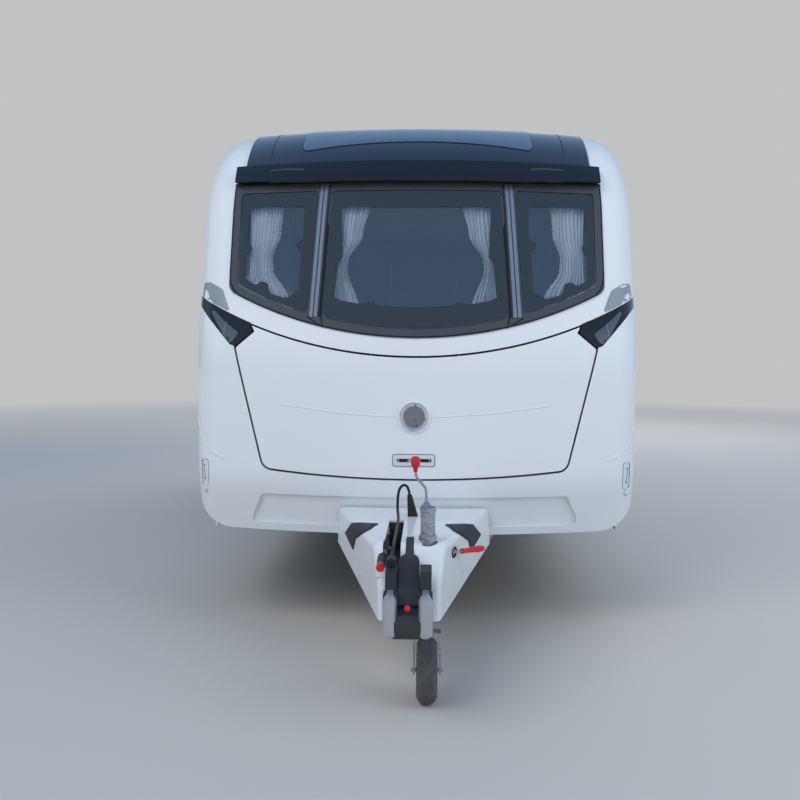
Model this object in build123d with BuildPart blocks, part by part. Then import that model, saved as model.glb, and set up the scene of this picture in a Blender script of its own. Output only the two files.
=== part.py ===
# Single-axle touring caravan, parked on its jockey wheel with the corner steadies wound up.
# Millimetres. +X is the nearside (the entrance door), -Y the front (the coupling), +Z up.
# The origin is on the ground, under the middle of the overall length and width.
from build123d import *
from math import atan2, cos, degrees, hypot, radians, sin, sqrt
import os

os.makedirs("parts", exist_ok=True)

# Driving dimensions of the whole caravan
overall_length = 7340
body_width = 2250
roof_height = 2625
drawbar_reach = 1150  # from the coupling's nose to the front of the body
rear_bumper_reach = 30
wall = 30  # sandwich wall, roof and front moulding
nose_y = -overall_length / 2
front_y = nose_y + drawbar_reach
tail_y = overall_length / 2
rear_y = tail_y - rear_bumper_reach
half_width = body_width / 2

# The body's section along its length, and its plan
plan_radius = 3200  # the bulge of the front, seen from above
corner_radius = 180  # front, roof and rear corners
tuck_height = 760
tuck_back = 100
sill_height = 1400
lean_back = 350
roof_bend = 750
tuck_bend = 450
sill_bend = 900
rear_bend = 260
rear_lean = 60
rear_lean_height = 1500
front_bottom = 500
bottom_corner = 200
floor_bottom = 520
floor_thick = 42
wall_bottom = floor_bottom
roof_split = roof_height - corner_radius - 10
cap_foot_back = 570  # where the front mouldings meet the walls, at the bottom
cap_slope = 0.25
rear_cap = 250
panel_seat = 0.3

# Front sill line, locker lid and lamps, seen from the front
sill_centre_z = 1380
sill_radius = 2220
lid_gap = 10
lid_bottom_gap = 13
lid_thick = 22
lid_edge_thick = 8  # along the sill line the lid thins to a flange, so that it swings clear
lid_edge_deep = 45
lid_low_half = 747
lid_high_half = 893
lid_low_z = 828
lid_high_z = 1420
lid_notch = (797, 1499)
lid_tip_x = 812
lid_bottom_z = 789
lid_corner = 55
lamp_top_x = 824
lamp_tip = (808, 1500)
lamp_foot = (898, 1428)
lamp_back = 400
lamp_proud = 6

# Front windows, brow and sunroof
frame_bottom_z = 1471
frame_radius = 2000
frame_half = 945
frame_corner = 60
glass_margin = 42
pillar_width = 62
pillar_top_x = 458
pillar_bottom_x = 500
brow_bottom_z = 2255
brow_top_z = 2370
brow_half = 942
brow_proud = 45
frame_proud = 6
sunroof_half = 900
sunroof_reach = 1000
pane_thick = 14

recess_corners = [(-831, 541), (831, 541), (758, 695), (-758, 695)]
recess_depth = 14
marker_x = 1064
marker_z = 788
marker_width = 36
marker_height = 128
marker_depth = 12
curtain_gap = wall + panel_seat
cable_radius = 6.5
bulkhead_y = -2090
rear_lamp_x = 960
rear_lamp_z = 980
badge_z = 1091
badge_radius = 72
latch_z = 880
latch_width = 200
latch_height = 54
shelf_z = 1530

# Side windows and doors, as (middle y, middle z, width, height)
door_front = -520
door_width = 600
door_bottom = 552
door_height = 1780
door_gap = 8
window_corner = 70
nearside_windows = [(-1130, 1590, 860, 640), (900, 1640, 900, 560), (2560, 1640, 800, 560)]
offside_windows = [(-1130, 1590, 860, 640), (350, 1640, 1100, 560), (2200, 1640, 800, 560)]
rear_window = (0, 1800, 1100, 420)
door_window = (0, 420, 320, 560)  # from the door's middle
pane_lap = 14
pane_proud = 7
hatch_corner = 25
wet_locker = (-1290, 830, 700, 380)
cassette_hatch = (2950, 830, 420, 380)
hatch_gap = 7

# Running gear
axle_y = 700
tyre_diameter = 630
tyre_width = 195
tyre_centre_x = 985
rim_diameter = 380
wheel_z = tyre_diameter / 2
arch_radius = 362
arch_inner_x = 862
axle_tube = 100
axle_lead = 170  # the torsion tube lies ahead of the wheel centres
axle_z = 330
stub_radius = 24
pin_clear = 0.3
chassis_top = floor_bottom
chassis_depth = 140
rail_x = 560
rail_flange = 48
rail_web = 6
rail_bend_y = -1470
drawbar_end = (131, -3190)
drawbar_depth = 116

# Coupling and jockey wheel
ball_y = nose_y + 50
ball_z = 395
shaft_z = 438
ball_socket = 25.2
jockey_x = 72
jockey_y = -3265
jockey_tube = 60
jockey_bore = 50
stem_diameter = jockey_bore - 2 * pin_clear
jockey_wheel_diameter = 260
jockey_wheel_width = 84
jockey_trail = 60
jockey_lift = 70
fork_top = 275
fork_axle = 8
caster_pin = 11
clamp_handle_z = 584

# Corner steadies
steady_x = 880
steady_front_y = -1960
steady_rear_y = 3050
steady_pivot_z = 478
steady_length = 520

# Hinges of the door and the hatches, and of the locker lid
seat = 0.3  # what lies between two pieces that rest on each other
hinge_out = 12
hinge_barrel = 8
hinge_pin = 4
hinge_leaf = 3
lid_axis_y = front_y + 84
lid_axis_z = 1470
lid_arm_x = 220
lid_arm = 8
lid_pin = 5
steady_pin = 6

# A-frame fairing
fairing_top = 640
fairing_rear_half = 348
fairing_nose_half = 121
fairing_nose_y = -3400
fairing_deck_nose = 75
fairing_wall = 8
fairing_rear_bottom = 444
fairing_nose_bottom = 352


def finish(name, shape):
    # Labels a finished piece and writes it under its node's name.
    shape.label = name
    export_step(shape, f"parts/{name}.step")


def front_block(draw, y_front, y_back):
    # A shape drawn in the front view, extruded from y_back forward to y_front.
    with BuildPart() as block:
        with BuildSketch(Plane.XZ.offset(-y_back)):
            add(draw())
        extrude(amount=y_back - y_front)
    return block.part


def side_block(draw, x_low, x_high):
    # A shape drawn in the side view as (y, z), extruded between two x.
    with BuildPart() as block:
        with BuildSketch(Plane.YZ.offset(x_low)):
            add(draw())
        extrude(amount=x_high - x_low)
    return block.part


envelopes = {}


def envelope(inset):
    # The body's outside, moved inwards by inset: the front is turned about an upright axis,
    # so that it bulges at every height, and the rest is a straight prism.
    if inset in envelopes:
        return envelopes[inset]
    turn_y = front_y + plan_radius
    low = -600
    with BuildPart() as body:
        with BuildSketch(Plane.YZ):
            with BuildLine():
                Polyline(
                    (front_y + tuck_back, low),
                    (front_y + tuck_back, front_bottom - 60),
                    (front_y, tuck_height),
                    (front_y, sill_height),
                    (front_y + lean_back, roof_height),
                    (turn_y - 100, roof_height),
                    (turn_y - 100, low),
                    close=True,
                )
            front_face = make_face()
            corners = front_face.vertices()
            fillet(corners.sort_by_distance((front_y, tuck_height))[0], tuck_bend)
            fillet(vertices().sort_by_distance((front_y, sill_height))[0], sill_bend)
            fillet(vertices().sort_by_distance((front_y + lean_back, roof_height))[0], roof_bend)
            if inset:
                offset(amount=-inset, kind=Kind.INTERSECTION, mode=Mode.REPLACE)
        revolve(axis=Axis((0, turn_y, 0), (0, 0, 1)), revolution_arc=80)
    front = body.part.rotate(Axis((0, turn_y, 0), (0, 0, 1)), -40)
    with BuildPart() as whole:
        add(front)
        with BuildSketch(Plane.YZ.offset(-half_width)):
            with BuildLine():
                Polyline(
                    (front_y + 1300, low),
                    (rear_y, low),
                    (rear_y, rear_lean_height),
                    (rear_y - rear_lean, roof_height),
                    (front_y + 1300, roof_height),
                    close=True,
                )
            make_face()
            fillet(vertices().sort_by_distance((rear_y - rear_lean, roof_height))[0], rear_bend)
            if inset:
                offset(amount=-inset, kind=Kind.INTERSECTION, mode=Mode.REPLACE)
        extrude(amount=body_width)
        with Locations((0, 0, 1000)):
            Box(2 * (half_width - inset), 3 * overall_length, 4000, mode=Mode.INTERSECT)
    solid = whole.part.clean()
    side = half_width - inset
    rails = [e for e in solid.edges() if abs(abs(e.center().X) - side) < 0.5 and e.center().Z > low + 100]
    solid = solid.fillet(corner_radius - inset, rails)
    envelopes[inset] = solid
    return solid


def low_mask(inset):
    # What the front moulding keeps: its lower corners are rounded in the front view.
    def draw():
        with BuildSketch() as outline:
            with Locations((0, (front_bottom + 4000) / 2)):
                Rectangle(2 * (half_width - inset) + 0.02, 4000 - front_bottom)
            fillet(vertices().group_by(Axis.Y)[0], bottom_corner - inset)
        return outline.sketch

    return front_block(draw, nose_y, 0)


def layer(outside, inside):
    # The skin between two insets of the body.
    with BuildPart() as skin:
        add(envelope(outside))
        add(envelope(inside), mode=Mode.SUBTRACT)
    return skin.part



def slab(x_low, x_high, y_low, y_high, z_low, z_high):
    # A plain block between its six faces.
    with BuildPart() as block:
        with Locations(((x_low + x_high) / 2, (y_low + y_high) / 2, (z_low + z_high) / 2)):
            Box(x_high - x_low, y_high - y_low, z_high - z_low)
    return block.part


def turned(inset, skin):
    # The turned front alone, between inset and inset + skin, without its rounded rails.
    turn_y = front_y + plan_radius
    with BuildPart() as body:
        for depth, mode in ((inset, Mode.ADD), (inset + skin, Mode.SUBTRACT)):
            with BuildSketch(Plane.YZ) as profile:
                with BuildLine():
                    Polyline(
                        (front_y + tuck_back, 300),
                        (front_y + tuck_back, front_bottom - 60),
                        (front_y, tuck_height),
                        (front_y, sill_height),
                        (front_y + lean_back, roof_height),
                        (turn_y - 1200, roof_height),
                        (turn_y - 1200, 300),
                        close=True,
                    )
                make_face()
                fillet(vertices().sort_by_distance((front_y, tuck_height))[0], tuck_bend)
                fillet(vertices().sort_by_distance((front_y, sill_height))[0], sill_bend)
                fillet(vertices().sort_by_distance((front_y + lean_back, roof_height))[0], roof_bend)
                if depth:
                    offset(amount=-depth, kind=Kind.INTERSECTION, mode=Mode.REPLACE)
            turned_part = revolve(
                profile.sketch, axis=Axis((0, turn_y, 0), (0, 0, 1)), revolution_arc=70, mode=Mode.PRIVATE
            )
            add(turned_part.rotate(Axis((0, turn_y, 0), (0, 0, 1)), -35), mode=mode)
    return body.part


def both(*pieces):
    # Gathers solids that don't touch into one node's shape.
    with BuildPart() as group:
        for piece in pieces:
            add(piece)
    return group.part


def mirrored(shape):
    # A shape and its mirror image across the middle of the caravan.
    with BuildPart() as pair:
        add(shape)
        add(shape.mirror(Plane.YZ))
    return pair.part


def common(first, second):
    # What two shapes share.
    with BuildPart() as shared:
        add(first)
        add(second, mode=Mode.INTERSECT)
    return shared.part


def cut(shape, *tools):
    # A shape less the tools.
    with BuildPart() as rest:
        add(shape)
        for tool in tools:
            add(tool, mode=Mode.SUBTRACT)
    return rest.part


def channel(start, end, top, depth, flange, web, reach=0):
    # A C section with its back on the line from start to end; a negative flange lies to the right.
    thick = web if flange > 0 else -web
    (x0, y0), (x1, y1) = start, end
    length = hypot(x1 - x0, y1 - y0)
    across = Plane(origin=(x0, y0, top), x_dir=(-(y1 - y0), x1 - x0, 0), z_dir=(x1 - x0, y1 - y0, 0))
    with BuildPart() as beam:
        with BuildSketch(across):
            with BuildLine():
                Polyline(
                    (0, 0), (0, -depth), (flange, -depth), (flange, web - depth),
                    (thick, web - depth), (thick, -web), (flange, -web), (flange, 0),
                    close=True,
                )
            make_face()
        extrude(amount=length + reach)
    return beam.part


def smile_z(x):
    # The height of the sill line at x.
    return sill_centre_z + sill_radius - sqrt(sill_radius**2 - x**2)


def above_smile(gap):
    # The front view above the sill line moved up by gap.
    with BuildSketch() as outline:
        with BuildLine():
            ThreePointArc(
                (-1400, smile_z(1400) + gap), (0, sill_centre_z + gap), (1400, smile_z(1400) + gap)
            )
            Polyline((1400, smile_z(1400) + gap), (1400, 3200), (-1400, 3200), (-1400, smile_z(1400) + gap))
        make_face()
    return outline.sketch


def cap_side(extra=0):
    # Everything ahead of the joint between the front mouldings and the walls.
    foot = front_y + cap_foot_back + extra

    def draw():
        with BuildSketch() as outline:
            with BuildLine():
                Polyline(
                    (nose_y, 200), (foot - cap_slope * 300, 200),
                    (foot + cap_slope * 2500, 3000), (nose_y, 3000), close=True,
                )
            make_face()
        return outline.sketch

    return side_block(draw, -1300, 1300)


def lid_outline(grow=0):
    # The locker lid's outline in the front view. Grown, it is the hole: it leaves out the notch
    # at the lamp, which fills that corner.
    tip_x = lamp_top_x if grow else lid_tip_x
    top_z = smile_z(tip_x) - lid_gap / 2 + grow
    lean = (lid_high_half - lid_low_half) / (lid_high_z - lid_low_z)
    aside = grow * sqrt(1 + lean**2)
    low = (lid_low_half + aside - lean * grow, lid_low_z - grow)
    corners = [(lid_high_half + aside + lean * grow, lid_high_z + grow), low]
    if not grow:
        corners.insert(0, lid_notch)
    with BuildSketch() as outline:
        with BuildLine():
            ThreePointArc((-tip_x, top_z), (0, sill_centre_z - lid_gap / 2 + grow), (tip_x, top_z))
            Polyline((tip_x, top_z), *corners)
            ThreePointArc(low, (0, lid_bottom_z - grow), (-low[0], low[1]))
            Polyline((-tip_x, top_z), *[(-x, z) for x, z in corners])
        make_face()
        fillet([v for v in vertices() if v.Y < (lid_low_z + lid_high_z) / 2], lid_corner + grow)
        fillet([v for v in vertices() if abs(v.X) > corners[-2][0] - 1], 12 + grow)
    return outline.sketch


def lamp_outline(grow=0):
    # The black lamp at the sill line's end on the right, grown by grow.
    rise = lid_gap / 2
    tip = (lamp_tip[0] - grow, lamp_tip[1])
    top = (lamp_top_x - grow, smile_z(lamp_top_x) + rise + grow)
    foot = (lamp_foot[0] - grow / 2, lamp_foot[1] - 1.3 * grow)
    heel = (lamp_foot[0] + 28, lamp_foot[1] + 10 - 1.2 * grow)
    with BuildSketch() as outline:
        with BuildLine():
            ThreePointArc(
                top, (1000, smile_z(1000) + rise + grow), (1300, smile_z(1300) + rise + grow)
            )
            Polyline(
                (1300, smile_z(1300) + rise + grow), (1300, smile_z(1300) - 20 - grow),
                (1110, smile_z(1110) - 42 - grow), (1016, 1536 - grow), heel, foot, tip, top,
            )
        make_face()
        fillet(vertices().sort_by_distance(heel)[0], 12)
        fillet(vertices().sort_by_distance(foot)[0], 9)
        fillet(vertices().sort_by_distance(tip)[0], 9)
        fillet(vertices().sort_by_distance((1016, 1536 - grow))[0], 300)
    return outline.sketch


def frame_outline(grow=0):
    # The grey surround of the front windows.
    with BuildSketch() as outline:
        low = frame_bottom_z + frame_radius - sqrt(frame_radius**2 - frame_half**2)
        with BuildLine():
            ThreePointArc((-frame_half, low), (0, frame_bottom_z), (frame_half, low))
            Polyline(
                (frame_half, low), (frame_half, brow_bottom_z), (-frame_half, brow_bottom_z),
                (-frame_half, low),
            )
        make_face()
        fillet([v for v in vertices() if v.Y < low + 5], frame_corner)
        if grow:
            offset(amount=grow, kind=Kind.INTERSECTION, mode=Mode.REPLACE)
    return outline.sketch


def pane_outlines(shrink=0):
    # The three panes: the surround less its margin and the two pillars.
    with BuildSketch() as outline:
        add(frame_outline(-glass_margin))
        for side in (-1, 1):
            Polygon(
                (side * (pillar_bottom_x + 6 - pillar_width / 2), 1400),
                (side * (pillar_bottom_x + 6 + pillar_width / 2), 1400),
                (side * (pillar_top_x + pillar_width / 2), brow_bottom_z),
                (side * (pillar_top_x - pillar_width / 2), brow_bottom_z),
                align=None, mode=Mode.SUBTRACT,
            )
        fillet(vertices(), 22)
        if shrink:
            offset(amount=-shrink, kind=Kind.INTERSECTION, mode=Mode.REPLACE)
    return outline.sketch


def sunroof_plan(grow=0):
    # The black roof panel over the front, seen from above.
    with BuildSketch() as outline:
        with Locations((0, front_y + sunroof_reach / 2)):
            RectangleRounded(2 * (sunroof_half + grow), sunroof_reach + 2 * grow, 90)
    return outline.sketch


def brow_outline(grow=0):
    # The black brow over the front windows, thinner towards its ends.
    with BuildSketch() as outline:
        middle = (brow_bottom_z + brow_top_z) / 2
        with BuildLine():
            Spline(
                (-brow_half, middle - 40), (0, brow_bottom_z), (brow_half, middle - 40),
            )
            Line((brow_half, middle - 40), (brow_half, middle + 50))
            Spline((brow_half, middle + 50), (0, brow_top_z), (-brow_half, middle + 50))
            Line((-brow_half, middle + 50), (-brow_half, middle - 40))
        make_face()
        if grow:
            offset(amount=grow, kind=Kind.INTERSECTION, mode=Mode.REPLACE)
    return outline.sketch


def recess_outline():
    # The number plate's shallow recess in the bumper.
    with BuildSketch() as outline:
        Polygon(*recess_corners, align=None)
        fillet(vertices(), 26)
    return outline.sketch


def marker_outline(grow=0):
    # The upright marker lamp on the front's right corner.
    with BuildSketch() as outline:
        with Locations((marker_x, marker_z)):
            RectangleRounded(marker_width + 2 * grow, marker_height + 2 * grow, 10 + grow)
    return outline.sketch


def wall_hole(side, hole, grow=0, corner=window_corner, depth=(60, 60)):
    # A rounded opening through a side wall; hole is its middle y and z, width and height.
    y, z, width, height = hole
    with BuildPart() as block:
        with BuildSketch(Plane.YZ.offset(side * half_width - depth[0])):
            with Locations((y, z)):
                RectangleRounded(width + 2 * grow, height + 2 * grow, corner)
        extrude(amount=depth[0] + depth[1])
    return block.part


def hinge_pair(origin, along, out, gap, length=34):
    # A butt hinge on a flat wall: the fixed leaf with its pin, and the moving leaf.
    # Its own x runs along the pin, its y towards the door, its z out of the wall.
    place = Plane(origin=origin, x_dir=along, z_dir=out)
    knuckle = length * 0.46
    with BuildPart() as fixed:
        with Locations((0, -22, hinge_leaf / 2)):
            Box(2 * length, 36, hinge_leaf)
        for side in (-1, 1):
            with Locations((side * (length + knuckle) / 2, -5, hinge_out / 2)):
                Box(length - knuckle, 10, hinge_out)
            with Locations(Location((side * (length + knuckle) / 2, 0, hinge_out), (0, 90, 0))):
                Cylinder(hinge_barrel, length - knuckle)
        with Locations(Location((0, 0, hinge_out), (0, 90, 0))):
            Cylinder(hinge_pin, 2 * length)
    with BuildPart() as moving:
        with Locations((0, gap + 20, hinge_leaf / 2)):
            Box(2 * length, 36, hinge_leaf)
        with Locations((0, gap / 2 + 3, hinge_out / 2 - 1)):
            Box(2 * knuckle - 2 * pin_clear, gap + 6, hinge_out - 4)
        with Locations(Location((0, 0, hinge_out), (0, 90, 0))):
            Cylinder(hinge_barrel, 2 * knuckle - 2 * pin_clear)
            Cylinder(hinge_pin + pin_clear, 2 * knuckle, mode=Mode.SUBTRACT)
    return place.location * fixed.part, place.location * moving.part


# the body shell, split where its panels meet
shell = layer(0, wall)
front_zone = cap_side()
rear_zone = slab(-1300, 1300, rear_y - rear_cap, tail_y + 100, 0, 3000)
sides_zone = slab(-1300, 1300, nose_y, rear_y - rear_cap, wall_bottom, roof_split)
roof_zone = slab(-1300, 1300, nose_y, rear_y - rear_cap, roof_split, 3000)
bumper_top = 640

sill_block = front_block(lambda: above_smile(lid_gap / 2), nose_y, 0)
under_sill = front_block(lambda: above_smile(-lid_gap / 2), nose_y, 0)
lid_block = front_block(lambda: lid_outline(0), nose_y, -1900)
lid_hole = front_block(lambda: lid_outline(lid_gap), nose_y, -1900)
lamp_block = mirrored(front_block(lambda: lamp_outline(0), nose_y, front_y + lamp_back))
lamp_hole = mirrored(front_block(lambda: lamp_outline(2), nose_y, front_y + lamp_back))
frame_block = front_block(lambda: frame_outline(0), nose_y, -1900)
pane_block = front_block(lambda: pane_outlines(seat), nose_y, -1900)
pane_holes = front_block(lambda: pane_outlines(0), nose_y, -1900)
frame_skin = turned(-frame_proud, frame_proud + 8)
pane_skin = turned(-2, pane_thick)

front_shell = common(shell, front_zone)
front_cap = cut(
    common(front_shell, sill_block), pane_holes, lamp_hole, common(frame_skin, frame_block)
)
with BuildPart() as sunroof_cutter:
    with BuildSketch(Plane.XY.offset(brow_top_z - 100)):
        add(sunroof_plan(-70))
    extrude(amount=600)
with BuildPart() as sunroof_block:
    with BuildSketch(Plane.XY.offset(brow_top_z - 100)):
        add(sunroof_plan())
    extrude(amount=600)
over_brow = slab(-1300, 1300, nose_y, 0, brow_top_z + 4, 3000)
under_brow = slab(-1300, 1300, nose_y, 0, 0, brow_bottom_z - 2)
roof_hole = common(
    sunroof_cutter.part,
    slab(-1300, 1300, nose_y, 0, brow_top_z + 60, 3000),
)
front_cap = cut(front_cap, roof_hole)
finish("front_cap", front_cap)

window_surround = cut(common(frame_skin, frame_block), pane_holes)
finish("window_surround", window_surround)
front_panes = common(pane_skin, pane_block)
finish("front_panes", front_panes)

brow_block = front_block(lambda: brow_outline(0), nose_y, -1900)
brow = common(turned(-brow_proud, brow_proud - panel_seat), brow_block)
finish("brow", brow)

sunroof_skin = common(common(turned(-12, 12 - panel_seat), sunroof_block.part), over_brow)
finish("sunroof", sunroof_skin)

front_lower = common(front_shell, lower_edge_block := low_mask(0))
recess_block = front_block(recess_outline, nose_y, -1900)
marker_pocket = mirrored(front_block(lambda: marker_outline(4), nose_y, -1900))
front_lower = cut(
    front_lower, under_sill, lid_hole, lamp_hole, common(turned(-5, 5 + recess_depth), recess_block),
    common(layer(0, marker_depth), marker_pocket),
)
marker_lamps = common(
    layer(2, marker_depth), mirrored(front_block(lambda: marker_outline(0), nose_y, -1900))
)
finish("marker_lamps", marker_lamps)
finish("front_moulding", front_lower)

lid_edge = common(
    layer(lid_edge_thick, lid_thick + 1), front_block(lambda: above_smile(-lid_edge_deep), nose_y, 0)
)
with BuildPart() as lid:
    add(cut(common(layer(0, lid_thick), lid_block), lid_edge))
    for side in (-1, 1):
        with BuildPart(mode=Mode.PRIVATE) as arm:
            with BuildSketch(Plane.YZ.offset(side * lid_arm_x - lid_arm / 2)):
                with Locations((lid_axis_y, lid_axis_z)):
                    Circle(13)
                    Polygon(
                        (0, 12), (62, 12), (112, -22), (112, -112), (84, -140), (-64, -140), (-64, -118),
                        (72, -118), (88, -102), (88, -30), (54, -10), (0, -11), align=None,
                    )
                    Circle(lid_pin + pin_clear, mode=Mode.SUBTRACT)
            extrude(amount=lid_arm)
        add(common(arm.part, envelope(lid_thick - 2)))
finish("locker_lid", lid.part)
lid_brackets = []
for side in (-1, 1):
    with BuildPart() as bracket:
        for cheek in (-1, 1):
            with BuildSketch(Plane.YZ.offset(side * lid_arm_x + cheek * (lid_arm / 2 + 4) - 3)):
                with Locations((lid_axis_y, lid_axis_z)):
                    Polygon((-84, -20), (-84, 24), (0, 15), (12, 6), (12, -6), (0, -14), align=None)
            extrude(amount=6)
        with Locations(Location((side * lid_arm_x, lid_axis_y, lid_axis_z), (0, 90, 0))):
            Cylinder(lid_pin, lid_arm + 10)
        with BuildSketch(Plane.YZ.offset(side * lid_arm_x - 26)):
            with Locations((lid_axis_y, lid_axis_z)):
                Polygon((-84, -26), (-84, 24), (-14, 24), (-22, -26), align=None)
        extrude(amount=52)
    lid_brackets.append(cut(common(bracket.part, envelope(wall + seat)), slab(
        side * lid_arm_x - lid_arm / 2 - 1, side * lid_arm_x + lid_arm / 2 + 1,
        lid_axis_y - 18, lid_axis_y - 13.5, lid_axis_z - 60, lid_axis_z + 14,
    )))

corner_lamps = common(cut(layer(0, 24), rear_zone), lamp_block)
corner_lamps = common(corner_lamps, front_zone)
finish("corner_lamps", corner_lamps)

arch_hole = slab(-1300, 1300, axle_y - arch_radius, axle_y + arch_radius, 0, wheel_z)
with BuildPart() as arch:
    with BuildSketch(Plane.YZ.offset(-1300)):
        with Locations((axle_y, wheel_z)):
            Circle(arch_radius)
    extrude(amount=2600)
door_hole = (door_front + door_width / 2, door_bottom + door_height / 2, door_width, door_height)
side_walls = cut(common(shell, sides_zone), front_zone)
side_walls = cut(side_walls, arch.part, arch_hole)
near_half = slab(0, 1300, nose_y, tail_y, 0, 3000)
far_half = slab(-1300, 0, nose_y, tail_y, 0, 3000)
near_cutters = [wall_hole(1, hole) for hole in nearside_windows]
near_cutters.append(wall_hole(1, door_hole, door_gap, 60))
far_cutters = [wall_hole(-1, hole) for hole in offside_windows]
far_cutters += [
    wall_hole(-1, hatch, hatch_gap, hatch_corner + hatch_gap) for hatch in (wet_locker, cassette_hatch)
]
wall_left = cut(common(side_walls, near_half), *near_cutters)
wall_right = cut(common(side_walls, far_half), *far_cutters)
finish("wall_nearside", wall_left)
finish("wall_offside", wall_right)

roof_lights = [(0, -760, 700, 500), (0, 700, 400, 400), (0, 2500, 400, 400)]
roof_top = cut(common(shell, roof_zone), front_zone)
light_frames = []
light_domes = []
for x, y, width, length in roof_lights:
    roof_top = cut(
        roof_top,
        slab(
            x - width / 2, x + width / 2, y - length / 2, y + length / 2, roof_height - 100, roof_height + 10,
        ),
    )
    with BuildPart() as kerb:
        with BuildSketch(Plane.XY.offset(roof_height)):
            with Locations((x, y)):
                RectangleRounded(width + 90, length + 90, 60)
                Rectangle(width, length, mode=Mode.SUBTRACT)
        extrude(amount=22)
    light_frames.append(kerb.part)
    with BuildPart() as dome:
        with BuildSketch(Plane.XY.offset(roof_height + 22)):
            with Locations((x, y)):
                RectangleRounded(width + 70, length + 70, 50)
        extrude(amount=38, taper=30)
    light_domes.append(dome.part)
finish("roof", roof_top)
finish("rooflight_frames", both(*light_frames))
finish("rooflight_domes", both(*light_domes))

rails = slab(
    half_width + seat, half_width + 11, front_y + 1150, rear_y - rear_cap - 60,
    roof_split - 12, roof_split + 12,
)
finish("awning_rails", mirrored(rails))

rear_shell = common(shell, rear_zone)
rear_shell = common(rear_shell, slab(-1300, 1300, 0, tail_y + 100, bumper_top, 3000))
rear_y_now, rear_z, rear_w, rear_h = rear_window
with BuildPart() as rear_cutter:
    with BuildSketch(Plane.XZ.offset(-(rear_y + 100))):
        with Locations((0, rear_z)):
            RectangleRounded(rear_w, rear_h, window_corner)
    extrude(amount=300)
rear_panel = cut(rear_shell, rear_cutter.part)
finish("rear_panel", rear_panel)

with BuildPart() as rear_bumper:
    with BuildSketch(Plane.XY.offset(floor_bottom - 90)):
        with Locations((0, tail_y - 600)):
            RectangleRounded(body_width, 1200, corner_radius)
        with Locations((0, rear_y - 600)):
            RectangleRounded(body_width - 2 * wall, 1200, corner_radius - wall, mode=Mode.SUBTRACT)
        with Locations((0, rear_y - rear_cap - 1000)):
            Rectangle(2600, 2000, mode=Mode.SUBTRACT)
    extrude(amount=bumper_top - floor_bottom + 90)
finish("rear_bumper", rear_bumper.part)

# inside the front: the locker's back wall and shelf, and the lounge's seats
with BuildPart() as bulkhead:
    add(slab(-1300, 1300, bulkhead_y, bulkhead_y + 15, floor_bottom + floor_thick, shelf_z))
    add(slab(-1300, 1300, nose_y, bulkhead_y + 15, shelf_z, shelf_z + 12))
finish("locker_bulkhead", common(bulkhead.part, envelope(wall + seat)))
curtains = []
for low, high in ((-925, -760), (-440, -330), (330, 440), (760, 925)):
    with BuildPart() as curtain:
        add(front_block(
            lambda: Rectangle(high - low, brow_bottom_z - 1640, mode=Mode.PRIVATE).move(
                Location(((high + low) / 2, (brow_bottom_z + 1640) / 2, 0))
            ), nose_y, -1900,
        ))
        add(turned(curtain_gap, 14), mode=Mode.INTERSECT)
    curtains.append(curtain.part)
finish("curtains", both(*curtains))
seats = []
for side in (-1, 1):
    low, high = sorted((side * (half_width - wall - 5), side * (half_width - wall - 640)))
    with BuildPart() as bench:
        add(slab(low, high, bulkhead_y + 20, bulkhead_y + 1250, floor_bottom + floor_thick, 980))
        fillet(edges().filter_by(Axis.Y).group_by(Axis.Z)[-1], 40)
    seats.append(bench.part)
finish("lounge_seats", both(*seats))

# lights and fittings of the front
with BuildPart() as badge:
    with BuildSketch(Plane.XZ.offset(-nose_y)):
        with Locations((0, badge_z)):
            Circle(badge_radius)
            Circle(badge_radius - 12, mode=Mode.SUBTRACT)
    extrude(amount=nose_y - front_y - 40)
badge_ring = common(badge.part, turned(-6, 6 - seat))
with BuildPart() as latch:
    with BuildSketch(Plane.XZ.offset(-nose_y)):
        with Locations((0, latch_z)):
            RectangleRounded(latch_width, latch_height, 12)
    extrude(amount=nose_y - front_y - 80)
latch_plate = common(latch.part, turned(-5, 5 - seat))
finish("lid_fittings", both(badge_ring, latch_plate))

with BuildPart() as rear_lamp:
    with BuildSketch(Plane.XZ.offset(-(rear_y + seat))):
        with Locations((rear_lamp_x, rear_lamp_z)):
            RectangleRounded(110, 460, 30)
    extrude(amount=-18)
    fillet(edges().group_by(Axis.Y)[-1], 8)
finish("rear_lamps", mirrored(rear_lamp.part))

# floor, wheel boxes and skirts
floor_slab = common(
    envelope(wall), slab(-1300, 1300, nose_y, rear_y - 5, floor_bottom, floor_bottom + floor_thick)
)
box_half = arch_radius + 40
box_cut = mirrored(slab(arch_inner_x - 12, 1300, axle_y - box_half, axle_y + box_half, 0, 3000))
front_low = low_mask(wall)
floor_front = common(common(floor_slab, front_low), front_zone)
floor_rear = cut(floor_slab, front_zone, box_cut)
with BuildPart() as floor_whole:
    add(floor_front)
    add(floor_rear)
finish("floor", floor_whole.part)

with BuildPart() as wheel_box:
    with Locations(((arch_inner_x - 12 + half_width - wall) / 2, axle_y, (floor_bottom + 760) / 2)):
        Box(half_width - wall - arch_inner_x + 12, 2 * box_half, 760 - floor_bottom)
    fillet(edges().filter_by(Axis.X).group_by(Axis.Z)[-1], 120)
    inner = slab(arch_inner_x, half_width, axle_y - box_half + 12, axle_y + box_half - 12, 0, 748)
    with BuildPart(mode=Mode.PRIVATE) as hollow:
        with Locations(((arch_inner_x + half_width) / 2, axle_y, 474)):
            Box(half_width - arch_inner_x, 2 * box_half - 24, 548)
        fillet(hollow.edges().filter_by(Axis.X).group_by(Axis.Z)[-1], 108)
    add(hollow.part, mode=Mode.SUBTRACT)
finish("wheel_boxes", mirrored(wheel_box.part))

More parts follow.
